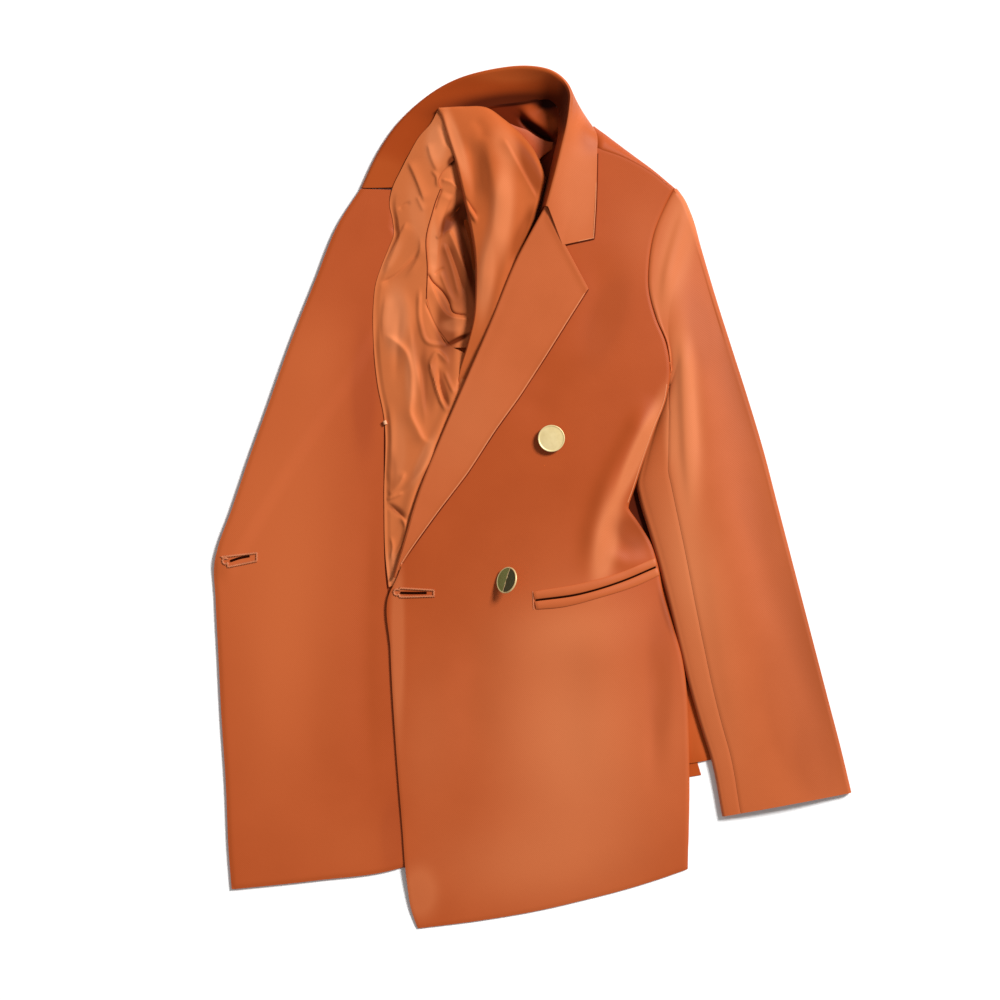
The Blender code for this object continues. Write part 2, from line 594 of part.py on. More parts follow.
def opened_front():
    """The right front with its inside up: shell below, facing above, lapel turned under."""

    def facing_height(x, y):
        return FACING_Z + LAPEL_LAYER * turned_lapel_cover(x, y)

    def shell_height(x, y):
        return SHELL_Z + LAPEL_LAYER * turned_lapel_cover(x, y)

    rows = plan_patch(FACING_TOP, FACING_HEM, FACING_EDGE, FACING_INNER, 10, 28)
    cloth_sheet("facing_right", raised(rows, facing_height), CLOTH, suiting())
    cloth_sheet("front_right", raised(rows, shell_height), CLOTH, suiting())

    way = (GORGE_POINT - BREAK_POINT).normalized()
    inwards = Vector((way.y, -way.x))
    length = (GORGE_POINT - BREAK_POINT).length
    lapel = []
    for j in range(21):
        share = 0.05 + 0.925 * j / 20
        roll = BREAK_POINT + way * (length * share)
        width = table_value(TURNED_LAPEL, share)
        line = [roll + inwards * (1.2 + (width - 1.2) * i / 4) for i in range(5)]
        lapel.append([(p.x, p.y, SHELL_Z) for p in line])
    cloth_sheet("lapel_right", lapel, CLOTH, suiting())


def collar_section(row, stand_steps, bend_steps, fall_steps):
    """One cross-section of the folded collar, from the stand's seam over the bend to the fall's edge."""
    at = dict(zip(COLLAR_COLUMNS, row))
    heading = math.radians(at["out"])
    outwards = Vector((math.cos(heading), math.sin(heading), 0))
    upwards = Vector((0, 0, 1))
    centre = Vector((at["x"], at["y"], at["z"]))

    def ray(degrees):
        turn = math.radians(degrees)
        return outwards * math.cos(turn) + upwards * math.sin(turn)

    def flap(start, way, end, steps):
        """A soft curve from the bend to a flap's far edge."""
        control = start + way * ((end - start).length * 0.5)
        return [start * (1 - t) ** 2 + control * (2 * t * (1 - t)) + end * t * t
                for t in [k / steps for k in range(1, steps + 1)]]

    seam = Vector((at["nx"], at["ny"], at["nz"]))
    edge = Vector((at["ex"], at["ey"], at["ez"]))
    first, last = at["stand"] - 90, at["fall"] + 90
    turns = [first + (last - first) * k / bend_steps for k in range(bend_steps + 1)]
    bend = [centre + ray(turn) * COLLAR_BEND for turn in turns]
    stand = flap(bend[0], ray(at["stand"]), seam, stand_steps)
    fall = flap(bend[-1], ray(at["fall"]), edge, fall_steps)
    return stand[::-1] + bend + fall


def collar():
    """The collar as one folded band, its stand inside and its fall outside."""
    stand_steps, bend_steps, fall_steps = 3, 4, 4
    sections = [collar_section(row, stand_steps, bend_steps, fall_steps) for row in COLLAR_ROWS]
    last = sections[-1]
    bend_end, notch, edge = last[stand_steps + bend_steps], Vector(NOTCH), last[-1]
    half = fall_steps // 2
    for k in range(1, fall_steps + 1):
        spot = bend_end.lerp(notch, k / half) if k <= half else notch.lerp(edge, (k - half) / half)
        last[stand_steps + bend_steps + k] = spot
    grid = []
    down = 29
    columns = [curve3([s[i] for s in sections], down) for i in range(len(sections[0]))]
    for j in range(down):
        grid.append([(p[0], p[1], max(p[2], 1.0)) for p in (column[j] for column in columns)])
    return cloth_sheet("collar", grid, CLOTH, suiting())


def curve3(points, count):
    """count points through 3-D knots, evenly in knot number, so that sections stay whole."""
    knots = np.array([tuple(p) for p in points], float)
    slopes = np.gradient(knots, axis=0)
    wanted = np.linspace(0, len(knots) - 1, count)
    span = np.clip(wanted.astype(int), 0, len(knots) - 2)
    t = (wanted - span)[:, None]
    smooth = (2 * t**3 - 3 * t**2 + 1) * knots[span] + (t**3 - 2 * t**2 + t) * slopes[span]
    smooth += (3 * t**2 - 2 * t**3) * knots[span + 1] + (t**3 - t**2) * slopes[span + 1]
    return [tuple(p) for p in smooth]


def body_lining():
    rows = plan_patch(LINING_TOP, LINING_FOOT, LINING_LEFT, LINING_RIGHT, 9, 32)
    cloth_sheet("lining_body", raised(rows, lining_height), LINING, satin())
    rows = plan_patch(SLEEVE_LINING_TOP, SLEEVE_LINING_FOOT, SLEEVE_LINING_LEFT, SLEEVE_LINING_RIGHT, 7, 15)
    cloth_sheet("lining_sleeve_right", raised(rows, sleeve_lining_height), LINING, satin())


def neck_facing():
    rows = plan_patch(NECK_TOP, NECK_FOOT, NECK_LEFT, NECK_RIGHT, 9, 9)
    return cloth_sheet("back_neck_facing", raised(rows, neck_rise), LINING, suiting())


def tucked_sleeve():
    """The right sleeve, pushed inside the body and folded on itself."""
    down = 18
    spread = [0, 0.03, 0.08, 0.16, 0.26, 0.36, 0.46, 0.56, 0.66, 0.76, 0.86, 0.94, 1.0]
    fine = plan_patch(TUCKED_TOP, TUCKED_FOOT, TUCKED_LEFT, TUCKED_RIGHT, 101, down)
    rows = [[row[round(share * 100)] for share in spread] for row in fine]

    def height(x, y, j, i):
        u, v = spread[i], j / (down - 1)
        left = 1 - max(0.0, 1 - u / TUCKED_ROUND)
        head = 1 - max(0.0, 1 - v / TUCKED_ROUND)
        right = 1 - max(0.0, 1 - (1 - u) / (TUCKED_ROUND / 2))
        rounding = 1.0
        for share in (left, head, right):
            rounding *= math.sqrt(max(1 - (1 - share) ** 2, 0.0))
        top = tucked_rise(x, y) + fold_relief(TUCKED_FOLDS, x, y)
        low = tucked_base(x, y) + 3.0
        return low + max(top - low, 0.0) * (0.35 + 0.65 * rounding)

    def ledge(j, i):
        """The lower layer shows only at the upper right."""
        if j == 0:
            shown = smooth_step((spread[i] - 0.45) / 0.3) * smooth_step((1.02 - spread[i]) / 0.12)
            return UNDERFOLD * shown
        return Vector((0, 0))

    return layered_heap("sleeve_right", rows, height, tucked_base, TUCKED_LEVELS, ledge, suiting())


def back():
    """The back and side with the layers folded behind the left front."""
    across, down = 15, 28
    right = BACK_RIGHT_TOP + [(x - BESIDE_SLEEVE, y) for x, y in SLEEVE_LEFT[:-1]]
    rows = plan_patch(BACK_TOP, BACK_HEM, BACK_LEFT, right, across, down)

    def height(x, y, j, i):
        low, high = ROLL_VALLEY
        under_front = smooth_step((roll_distance(x, y) - low) / (high - low))
        lifted = front_height(x, y) - BACK_CLEARANCE
        rise = NEST_Z + (lifted - NEST_Z) * under_front
        inset = min((Vector(rows[j][end]) - Vector((x, y))).length for end in (0, -1))
        return SIDE_Z + max(rise - SIDE_Z, 0.0) * smooth_step(inset / SIDE_VALLEY)

    def ledge(j, i):
        return LEDGE if j == down - 1 else Vector((0, 0))

    return layered_heap("back", rows, height, 0.0, BACK_LEVELS, ledge, suiting())


def back_shoulder():
    """The back's cloth from the shoulder seam, over the edge and down to the table."""
    down, steps = 12, 8
    seam, outer = curve(SHOULDER_SEAM, 61), curve(BACK_SHOULDER, down)
    grid = []
    for j in range(down):
        near = along_line(seam, BACK_SHOULDER_START + (1 - BACK_SHOULDER_START) * j / (down - 1))
        far = Vector(outer[j])
        away = (far - near).normalized()
        start = near + away * SHOULDER_GAP
        top = front_height(*near)
        middle = (top + SHELL_Z) / 2
        line = []
        for k in range(steps + 1):
            turn = math.pi * k / steps
            spot = far - away * (1 - math.sin(turn))
            if k <= steps / 2:
                spot = start + (far - start) * math.sin(turn)
            line.append((spot.x, spot.y, middle + (top - middle) * math.cos(turn)))
        grid.append(line)
    return cloth_sheet("back_shoulder", grid, CLOTH, suiting())


def inward_normal(line, share, side):
    """The plan direction into the sleeve, square to a folded edge."""
    way = (along_line(line, min(share + 0.02, 1.0)) - along_line(line, max(share - 0.02, 0.0))).normalized()
    return Vector((-way.y, way.x)) * side


def sleeve_section(row, left_line, right_line):
    """The sizes and corners of the sleeve at a share of its rows."""
    at = {name: table_value(SLEEVE_ROWS, row, k) for k, name in enumerate(SLEEVE_COLUMNS)}
    for hand, line, side in (("left", left_line, 1), ("right", right_line, -1)):
        half = (at[hand + "_fold"] - CLOTH) / 2
        reach = min(half, FOLD_REACH)
        inward = inward_normal(line, at[hand + "_at"], side)
        at[hand + "_half"], at[hand + "_reach"], at[hand + "_in"] = half, reach, inward
        at[hand] = along_line(line, at[hand + "_at"]) + inward * (CLOTH / 2 + reach)
    return at


def folded_edge(at, hand, turns):
    """Points round a folded edge of the sleeve, at turns from 0 at its top to pi at its foot."""
    line = []
    for turn in turns:
        spot = at[hand] - at[hand + "_in"] * (at[hand + "_reach"] * math.sin(turn))
        line.append((spot.x, spot.y, SHELL_Z + at[hand + "_half"] * (1 + math.cos(turn))))
    return line


def left_sleeve():
    """The left sleeve, a flattened tube of a top piece and an under piece, open at cuff and armhole.
    The top piece's turn round the folded edge is a solid of its own, and so is its strip below, which
    runs to the back seam."""
    down = 26
    left_line, right_line, armhole = curve(SLEEVE_LEFT, 81), curve(SLEEVE_RIGHT, 81), curve(ARMHOLE, 61)
    first = sleeve_section(0.0, left_line, right_line)
    top_grid, turn_grid, strip_grid, under_grid = [], [], [], []
    for j in range(down):
        row = j / (down - 1)
        at = sleeve_section(row, left_line, right_line)
        bend = max(1 - row / ARMHOLE_FADE, 0.0) ** 1.4

        def top(u):
            low = SHELL_Z + 2 * (at["left_half"] * (1 - u) + at["right_half"] * u)
            spot = at["left"].lerp(at["right"], u)
            spot = spot + (along_line(armhole, u) - first["left"].lerp(first["right"], u)) * bend
            crown = at["crown"] * math.sin(math.pi * min(max(u, 0.0), 1.0)) ** 0.75
            relief = fold_relief(SLEEVE_FOLDS, *spot) * smooth_step(row / 0.1)
            return (spot.x, spot.y, low + crown + relief)

        def foot(u):
            spot = at["left"].lerp(at["right"], u)
            return (spot.x, spot.y, SHELL_Z)

        seam = at["seam"]
        gap = (SEAM + UNDERARM_EASE * (1 - smooth_step(row / 0.25))) / (at["right"] - at["left"]).length
        over = [top(seam + gap + (1 - seam - gap) * k / 9) for k in range(10)]
        part = SEAM / 2 / at["right_half"]
        over += folded_edge(at, "right", [PART_TURN / 2, PART_TURN - PART_EASE, PART_TURN - part])
        top_grid.append(over)
        turns = [PART_TURN + part, PART_TURN + PART_EASE, math.radians(95), math.radians(135)]
        turn_grid.append(folded_edge(at, "right", turns + [math.pi - PART_EASE, math.pi]))
        strip_start = 1 - STRIP_GAP / (at["right"] - at["left"]).length
        strip_grid.append([foot(strip_start), foot((1 + UNDER_SEAM) / 2), foot(UNDER_SEAM + gap)])
        under = [top(seam - gap), top(seam * 0.5), top(0.0)]
        under += folded_edge(at, "left", [math.radians(turn) for turn in (45, 90, 135)])
        under += [foot((UNDER_SEAM - gap) * k / 6) for k in range(7)]
        if j >= UNDERARM_ROWS:
            under_grid.append(under)
    cloth_sheet("sleeve_left_top", top_grid, CLOTH, suiting())
    cloth_sheet("sleeve_left_turn", turn_grid, CLOTH, suiting())
    cloth_sheet("sleeve_left_strip", strip_grid, CLOTH, suiting())
    cloth_sheet("sleeve_left_under", under_grid, CLOTH, suiting())


def pocket():
    """The two welts of the jetted pocket, each laid on the front's own surface."""
    lift = CLOTH / 2 + SEAM + WELT_LIFT / 2
    welts = {"welt_upper": (WELT_TOP, WELT_MIDDLE), "welt_lower": (WELT_MIDDLE, WELT_FOOT)}
    for name, (upper, lower) in welts.items():
        top_line, foot_line = curve(upper, 13), curve(lower, 13)
        grid = []
        for near, far in zip(top_line, foot_line):
            line = []
            for share in (0.06, 0.35, 0.65, 0.94):
                spot = Vector(near).lerp(Vector(far), share)
                line.append((spot.x, spot.y, front_height(*spot) + lift))
            grid.append(line)
        cloth_sheet(name, grid, WELT_LIFT, suiting())


def button_profile(shank):
    """Radius and height down a domed button with a raised rim and a sewn shank, in millimetres."""
    face = [(BUTTON_RADIUS * share, z) for share, z in BUTTON_FACE]
    return face + [(2.6, 0.0), (1.9, -shank * 0.6), (1.5, -shank), (0.0, -shank)]


def buttons():
    steps = 22
    for row in BUTTON_PLACES:
        at = dict(zip(BUTTON_COLUMNS, row))
        shape = bmesh.new()
        rings = []
        for radius, z in button_profile(at["shank"]):
            around = [2 * math.pi * k / steps for k in range(steps if radius else 1)]
            rings.append([shape.verts.new((radius * math.cos(a) * MM, radius * math.sin(a) * MM, z * MM))
                          for a in around])
        for upper, lower in zip(rings, rings[1:]):
            for k in range(steps):
                after = (k + 1) % steps
                if len(upper) == 1:
                    shape.faces.new((upper[0], lower[k], lower[after]))
                elif len(lower) == 1:
                    shape.faces.new((upper[k], lower[0], upper[after]))
                else:
                    shape.faces.new((upper[k], lower[k], lower[after], upper[after]))
        piece = finish_object(at["name"], shape, gold())
        turn = math.radians(at["heading"])
        across = Vector((-math.sin(turn), math.cos(turn), 0))
        x, y = at["x"], at["y"]
        piece.location = built(x, y, front_height(x, y) + CLOTH / 2 + at["lift"])
        piece.rotation_mode = "QUATERNION"
        piece.rotation_quaternion = Matrix.Rotation(math.radians(at["tilt"]), 3, across).to_quaternion()


def centre_on_origin():
    """Puts the middle of the laid blazer's box over the origin, with its underside on Z = 0."""
    bpy.context.view_layer.update()
    graph = bpy.context.evaluated_depsgraph_get()
    corners = []
    for piece in bpy.data.objects:
        shown = piece.evaluated_get(graph)
        corners += [piece.matrix_world @ Vector(c) for c in shown.bound_box]
    low = [min(c[axis] for c in corners) for axis in range(3)]
    high = [max(c[axis] for c in corners) for axis in range(3)]
    shift = Vector((-(low[0] + high[0]) / 2, -(low[1] + high[1]) / 2, -low[2]))
    for piece in bpy.data.objects:
        piece.location += shift


def main():
    for old in list(bpy.data.objects):
        bpy.data.objects.remove(old)
    back()
    back_shoulder()
    opened_front()
    body_lining()
    neck_facing()
    tucked_sleeve()
    left_front()
    left_lapel()
    collar()
    left_sleeve()
    pocket()
    buttons()
    centre_on_origin()


main()
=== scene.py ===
import math

import bpy
import numpy as np
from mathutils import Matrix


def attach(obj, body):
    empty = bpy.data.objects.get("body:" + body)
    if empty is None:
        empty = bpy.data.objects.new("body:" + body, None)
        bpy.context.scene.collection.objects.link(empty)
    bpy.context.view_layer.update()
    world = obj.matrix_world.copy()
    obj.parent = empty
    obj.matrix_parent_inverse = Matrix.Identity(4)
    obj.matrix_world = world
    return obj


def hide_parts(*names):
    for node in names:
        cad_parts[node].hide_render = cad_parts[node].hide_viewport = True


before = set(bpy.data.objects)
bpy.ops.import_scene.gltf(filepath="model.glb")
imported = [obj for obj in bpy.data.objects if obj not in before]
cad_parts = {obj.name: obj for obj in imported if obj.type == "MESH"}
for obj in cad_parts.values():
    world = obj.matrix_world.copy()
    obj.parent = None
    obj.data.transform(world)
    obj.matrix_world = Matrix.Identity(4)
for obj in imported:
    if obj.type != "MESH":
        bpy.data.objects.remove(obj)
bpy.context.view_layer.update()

# The lay plan is drafted in millimetres: x to the wearer's left, y towards the collar, heights off the table.
lay = {
    "grade": 0.96,  # plan size built over plan size drafted; heights are true
    "shift": (0.139, 0.128),  # mm, from the draft's origin to the middle of the laid blazer
    "cloth": 1.8,  # suiting fused to its interlining
    "lining": 1,
    "seam": 0.3,  # gap between pieces that touch
    "nest": 5,  # top of the hidden layers
    "rim": 0.45,  # rounding of a cloth edge
    "thinRim": 0.3,
}
shellZ = lay["cloth"] / 2


# Helpers for cloth grids
def smoothStep(value):
    held = np.clip(value, 0.0, 1.0)
    return held * held * (3 - 2 * held)


def closeEnds(count, pull=0.55):  # shares from 0 to 1, closer together at both ends
    t = np.linspace(0, 1, count)
    return t - pull * np.sin(2 * np.pi * t) / (2 * np.pi)


def ease(t, a, b, da, db):  # smooth way from a to b with slopes da and db
    return (2 * t**3 - 3 * t**2 + 1) * a + (t**3 - 2 * t**2 + t) * da + (3 * t**2 - 2 * t**3) * b + (t**3 - t**2) * db


def linePoints(knots, shares):  # points at shares of the length of a smooth line through the knots
    knots = np.array(knots, float)
    chords = np.linalg.norm(np.diff(knots, axis=0), axis=1)
    at = np.concatenate([[0], np.cumsum(chords)])
    if len(knots) == 2:
        return knots[0] + (knots[1] - knots[0]) * np.asarray(shares, float)[:, None]
    slopes = np.gradient(knots, at, axis=0)
    wanted = np.clip(np.asarray(shares, float), 0, 1) * at[-1]
    span = np.clip(np.searchsorted(at, wanted, side="right") - 1, 0, len(chords) - 1)
    t = ((wanted - at[span]) / chords[span])[:, None]
    chord = chords[span][:, None]
    return ease(t, knots[span], knots[span + 1], slopes[span] * chord, slopes[span + 1] * chord)


def unit(ways):
    return ways / np.maximum(np.linalg.norm(ways, axis=-1), 1e-6)[..., None]


def leftOf(ways):  # a quarter turn to the left
    return np.stack([-ways[..., 1], ways[..., 0]], -1)


def coonsPatch(top, foot, left, right, us, vs):  # plan grid filled in between four outlines
    us, vs = np.asarray(us, float), np.asarray(vs, float)
    t, f = linePoints(top, us)[None], linePoints(foot, us)[None]
    l, r = linePoints(left, vs)[:, None], linePoints(right, vs)[:, None]
    u, v = us[None, :, None], vs[:, None, None]
    corners = (1 - u) * ((1 - v) * t[:, :1] + v * f[:, :1]) + u * ((1 - v) * t[:, -1:] + v * f[:, -1:])
    return (1 - v) * t + v * f + (1 - u) * l + u * r - corners


def pinnedSurface(pins):  # thin-plate surface through (x, y, rise) pins
    pins = np.array(pins, float)
    paintedShading, count = pins[:, :2], len(pins)

    def kernel(squared):
        return 0.5 * squared * np.log(np.maximum(squared, 1e-9))

    system = np.zeros((count + 3, count + 3))
    system[:count, :count] = kernel(((paintedShading[:, None] - paintedShading[None]) ** 2).sum(2)) + np.eye(count) * 4
    system[:count, count:] = np.column_stack([np.ones(count), paintedShading])
    system[count:, :count] = system[:count, count:].T
    weights = np.linalg.solve(system, np.concatenate([pins[:, 2], np.zeros(3)]))

    def height(plan):
        x, y = plan[..., 0], plan[..., 1]
        total = weights[count] + weights[count + 1] * x + weights[count + 2] * y
        for (px, py), weight in zip(paintedShading, weights):
            total = total + weight * kernel((x - px) ** 2 + (y - py) ** 2)
        return total

    return height


def pathDistance(line, plan):  # distance to a polyline, its sign (left of travel is positive), share along it
    x, y = plan[..., 0], plan[..., 1]
    line = np.asarray(line, float)
    best = np.full(np.shape(x), 1e9)
    sign, share = np.ones(np.shape(x)), np.zeros(np.shape(x))
    steps = np.linalg.norm(np.diff(line, axis=0), axis=1)
    start, whole = 0.0, steps.sum()
    for (ax, ay), (bx, by), step in zip(line, line[1:], steps):
        rx, ry = bx - ax, by - ay
        t = np.clip(((x - ax) * rx + (y - ay) * ry) / step**2, 0, 1)
        dx, dy = x - ax - rx * t, y - ay - ry * t
        away = np.hypot(dx, dy)
        closer = away < best
        best = np.where(closer, away, best)
        sign = np.where(closer, np.where(rx * dy - ry * dx > 0, 1.0, -1.0), sign)
        share = np.where(closer, (start + step * t) / whole, share)
        start += step
    return best, sign, share


# A fold is (line, rise, width right of travel, width left of travel, fade in, fade out, crispness).
# A line that runs down the lay has the lay's left on its right-hand side.
plainFold = (0.3, 0.3, 2.0)  # fades and crispness of a fold that names none


def foldRelief(folds, plan):
    total = np.zeros(plan.shape[:-1])
    for line, rise, rightWide, leftWide, *rest in folds:
        fadeIn, fadeOut, crisp = (*rest, *plainFold[len(rest):])
        path = linePoints(line, np.linspace(0, 1, 6 * (len(line) - 1) + 1))
        away, side, share = pathDistance(path, plan)
        wide = np.where(side > 0, leftWide, rightWide)
        fade = smoothStep(share / fadeIn) * smoothStep((1 - share) / fadeOut)
        total += rise * np.exp(-((away / wide) ** crisp)) * fade
    return total


def toWorld(points):
    made = np.array(points, float)
    made[..., :2] = made[..., :2] * lay["grade"] + lay["shift"]
    return made * 0.001


def withHeight(plan, height):
    return np.concatenate([plan, np.asarray(height)[..., None]], axis=-1)


def edgeDistance(grid):  # plan distance of each grid point from the grid's left, right, top and foot
    plan = grid[..., :2]
    across = np.linalg.norm(np.diff(plan, axis=1), axis=2)
    down = np.linalg.norm(np.diff(plan, axis=0), axis=2)
    left = np.pad(np.cumsum(across, 1), ((0, 0), (1, 0)))
    top = np.pad(np.cumsum(down, 0), ((1, 0), (0, 0)))
    return left, left[:, -1:] - left, top, top[-1:] - top


def rollOff(distance, drop, wide):  # how far a turned edge dips towards its rim
    return drop * np.exp(-((distance / wide) ** 2))


def rimDips(grid, rims):  # the dip beside each side in turn, from (drop, width) for left, right, top and foot
    return [rollOff(distance, *rim) if rim else 0 for distance, rim in zip(edgeDistance(grid), rims)]


def tuckUnder(grid, side, reach, drop):  # runs an edge on beneath its neighbour
    turned = grid.transpose(1, 0, 2) if side in ("left", "right") else grid
    turned = turned[::-1] if side in ("foot", "right") else turned
    way = unit(turned[0, :, :2] - turned[3, :, :2])
    rows = []
    for share in (1, 0.75, 0.5, 0.25):
        spot = turned[0].copy()
        spot[:, :2] += way * reach * share
        spot[:, 2] -= drop * math.sin(share * math.pi / 2)
        rows.append(spot)
    turned = np.concatenate([np.array(rows), turned])
    turned = turned[::-1] if side in ("foot", "right") else turned
    return turned.transpose(1, 0, 2) if side in ("left", "right") else turned


def tuckSides(grid, tucks):
    for side, reach, drop in tucks:
        grid = tuckUnder(grid, side, reach, drop)
    return grid


def setAll(thing, **settings):
    for name, value in settings.items():
        setattr(thing, name, value)
    return thing


def addObject(name, data):
    made = bpy.data.objects.new(name, data)
    bpy.context.scene.collection.objects.link(made)
    return made


def makeMesh(name, points, faces, finish, smooth=True):
    mesh = bpy.data.meshes.new(name)
    mesh.from_pydata(points.reshape(-1, 3).tolist(), [], faces)
    mesh.materials.append(finish)
    if smooth:
        mesh.shade_smooth()
    return addObject(name, mesh)


def gridFaces(down, across):
    index = np.arange(down * across).reshape(down, across)
    return np.stack([index[:-1, :-1], index[1:, :-1], index[1:, 1:], index[:-1, 1:]], -1).reshape(-1, 4).tolist()


def thicken(piece, wall):
    setAll(piece.modifiers.new("cloth wall", "SOLIDIFY"), thickness=wall * 0.001, offset=0)


def dress(piece, slotName, *nodes):
    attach(piece, "root")
    if nodes:
        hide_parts(*nodes)
    return piece


def layCloth(name, nodes, grid, finish, wall=lay["cloth"], rim=lay["rim"], slotName="suiting"):
    piece = makeMesh(name, toWorld(grid), gridFaces(*grid.shape[:2]), finish)  # the grid is the cloth's middle
    thicken(piece, wall)
    setAll(piece.modifiers.new("rounded rim", "BEVEL"), width=rim * 0.001, segments=2,
           limit_method="ANGLE", angle_limit=math.radians(55), harden_normals=True)
    dress(piece, slotName, *nodes)
    return piece


# Materials
weave = {
    "crepe": 0.2, "satinShare": 0.3, "roughness": 0.52, "gloss": 0.2, "deepGloss": 0.05,
    "sheen": 0.05, "sheenRough": 0.45, "inside": ("stand", "back", "neck", "tucked", "satin"),
    "wideSpot": 9000, "wideCore": 0.95, "smallCore": 0.45,  # a wide spot reaches its strength only at its middle
}
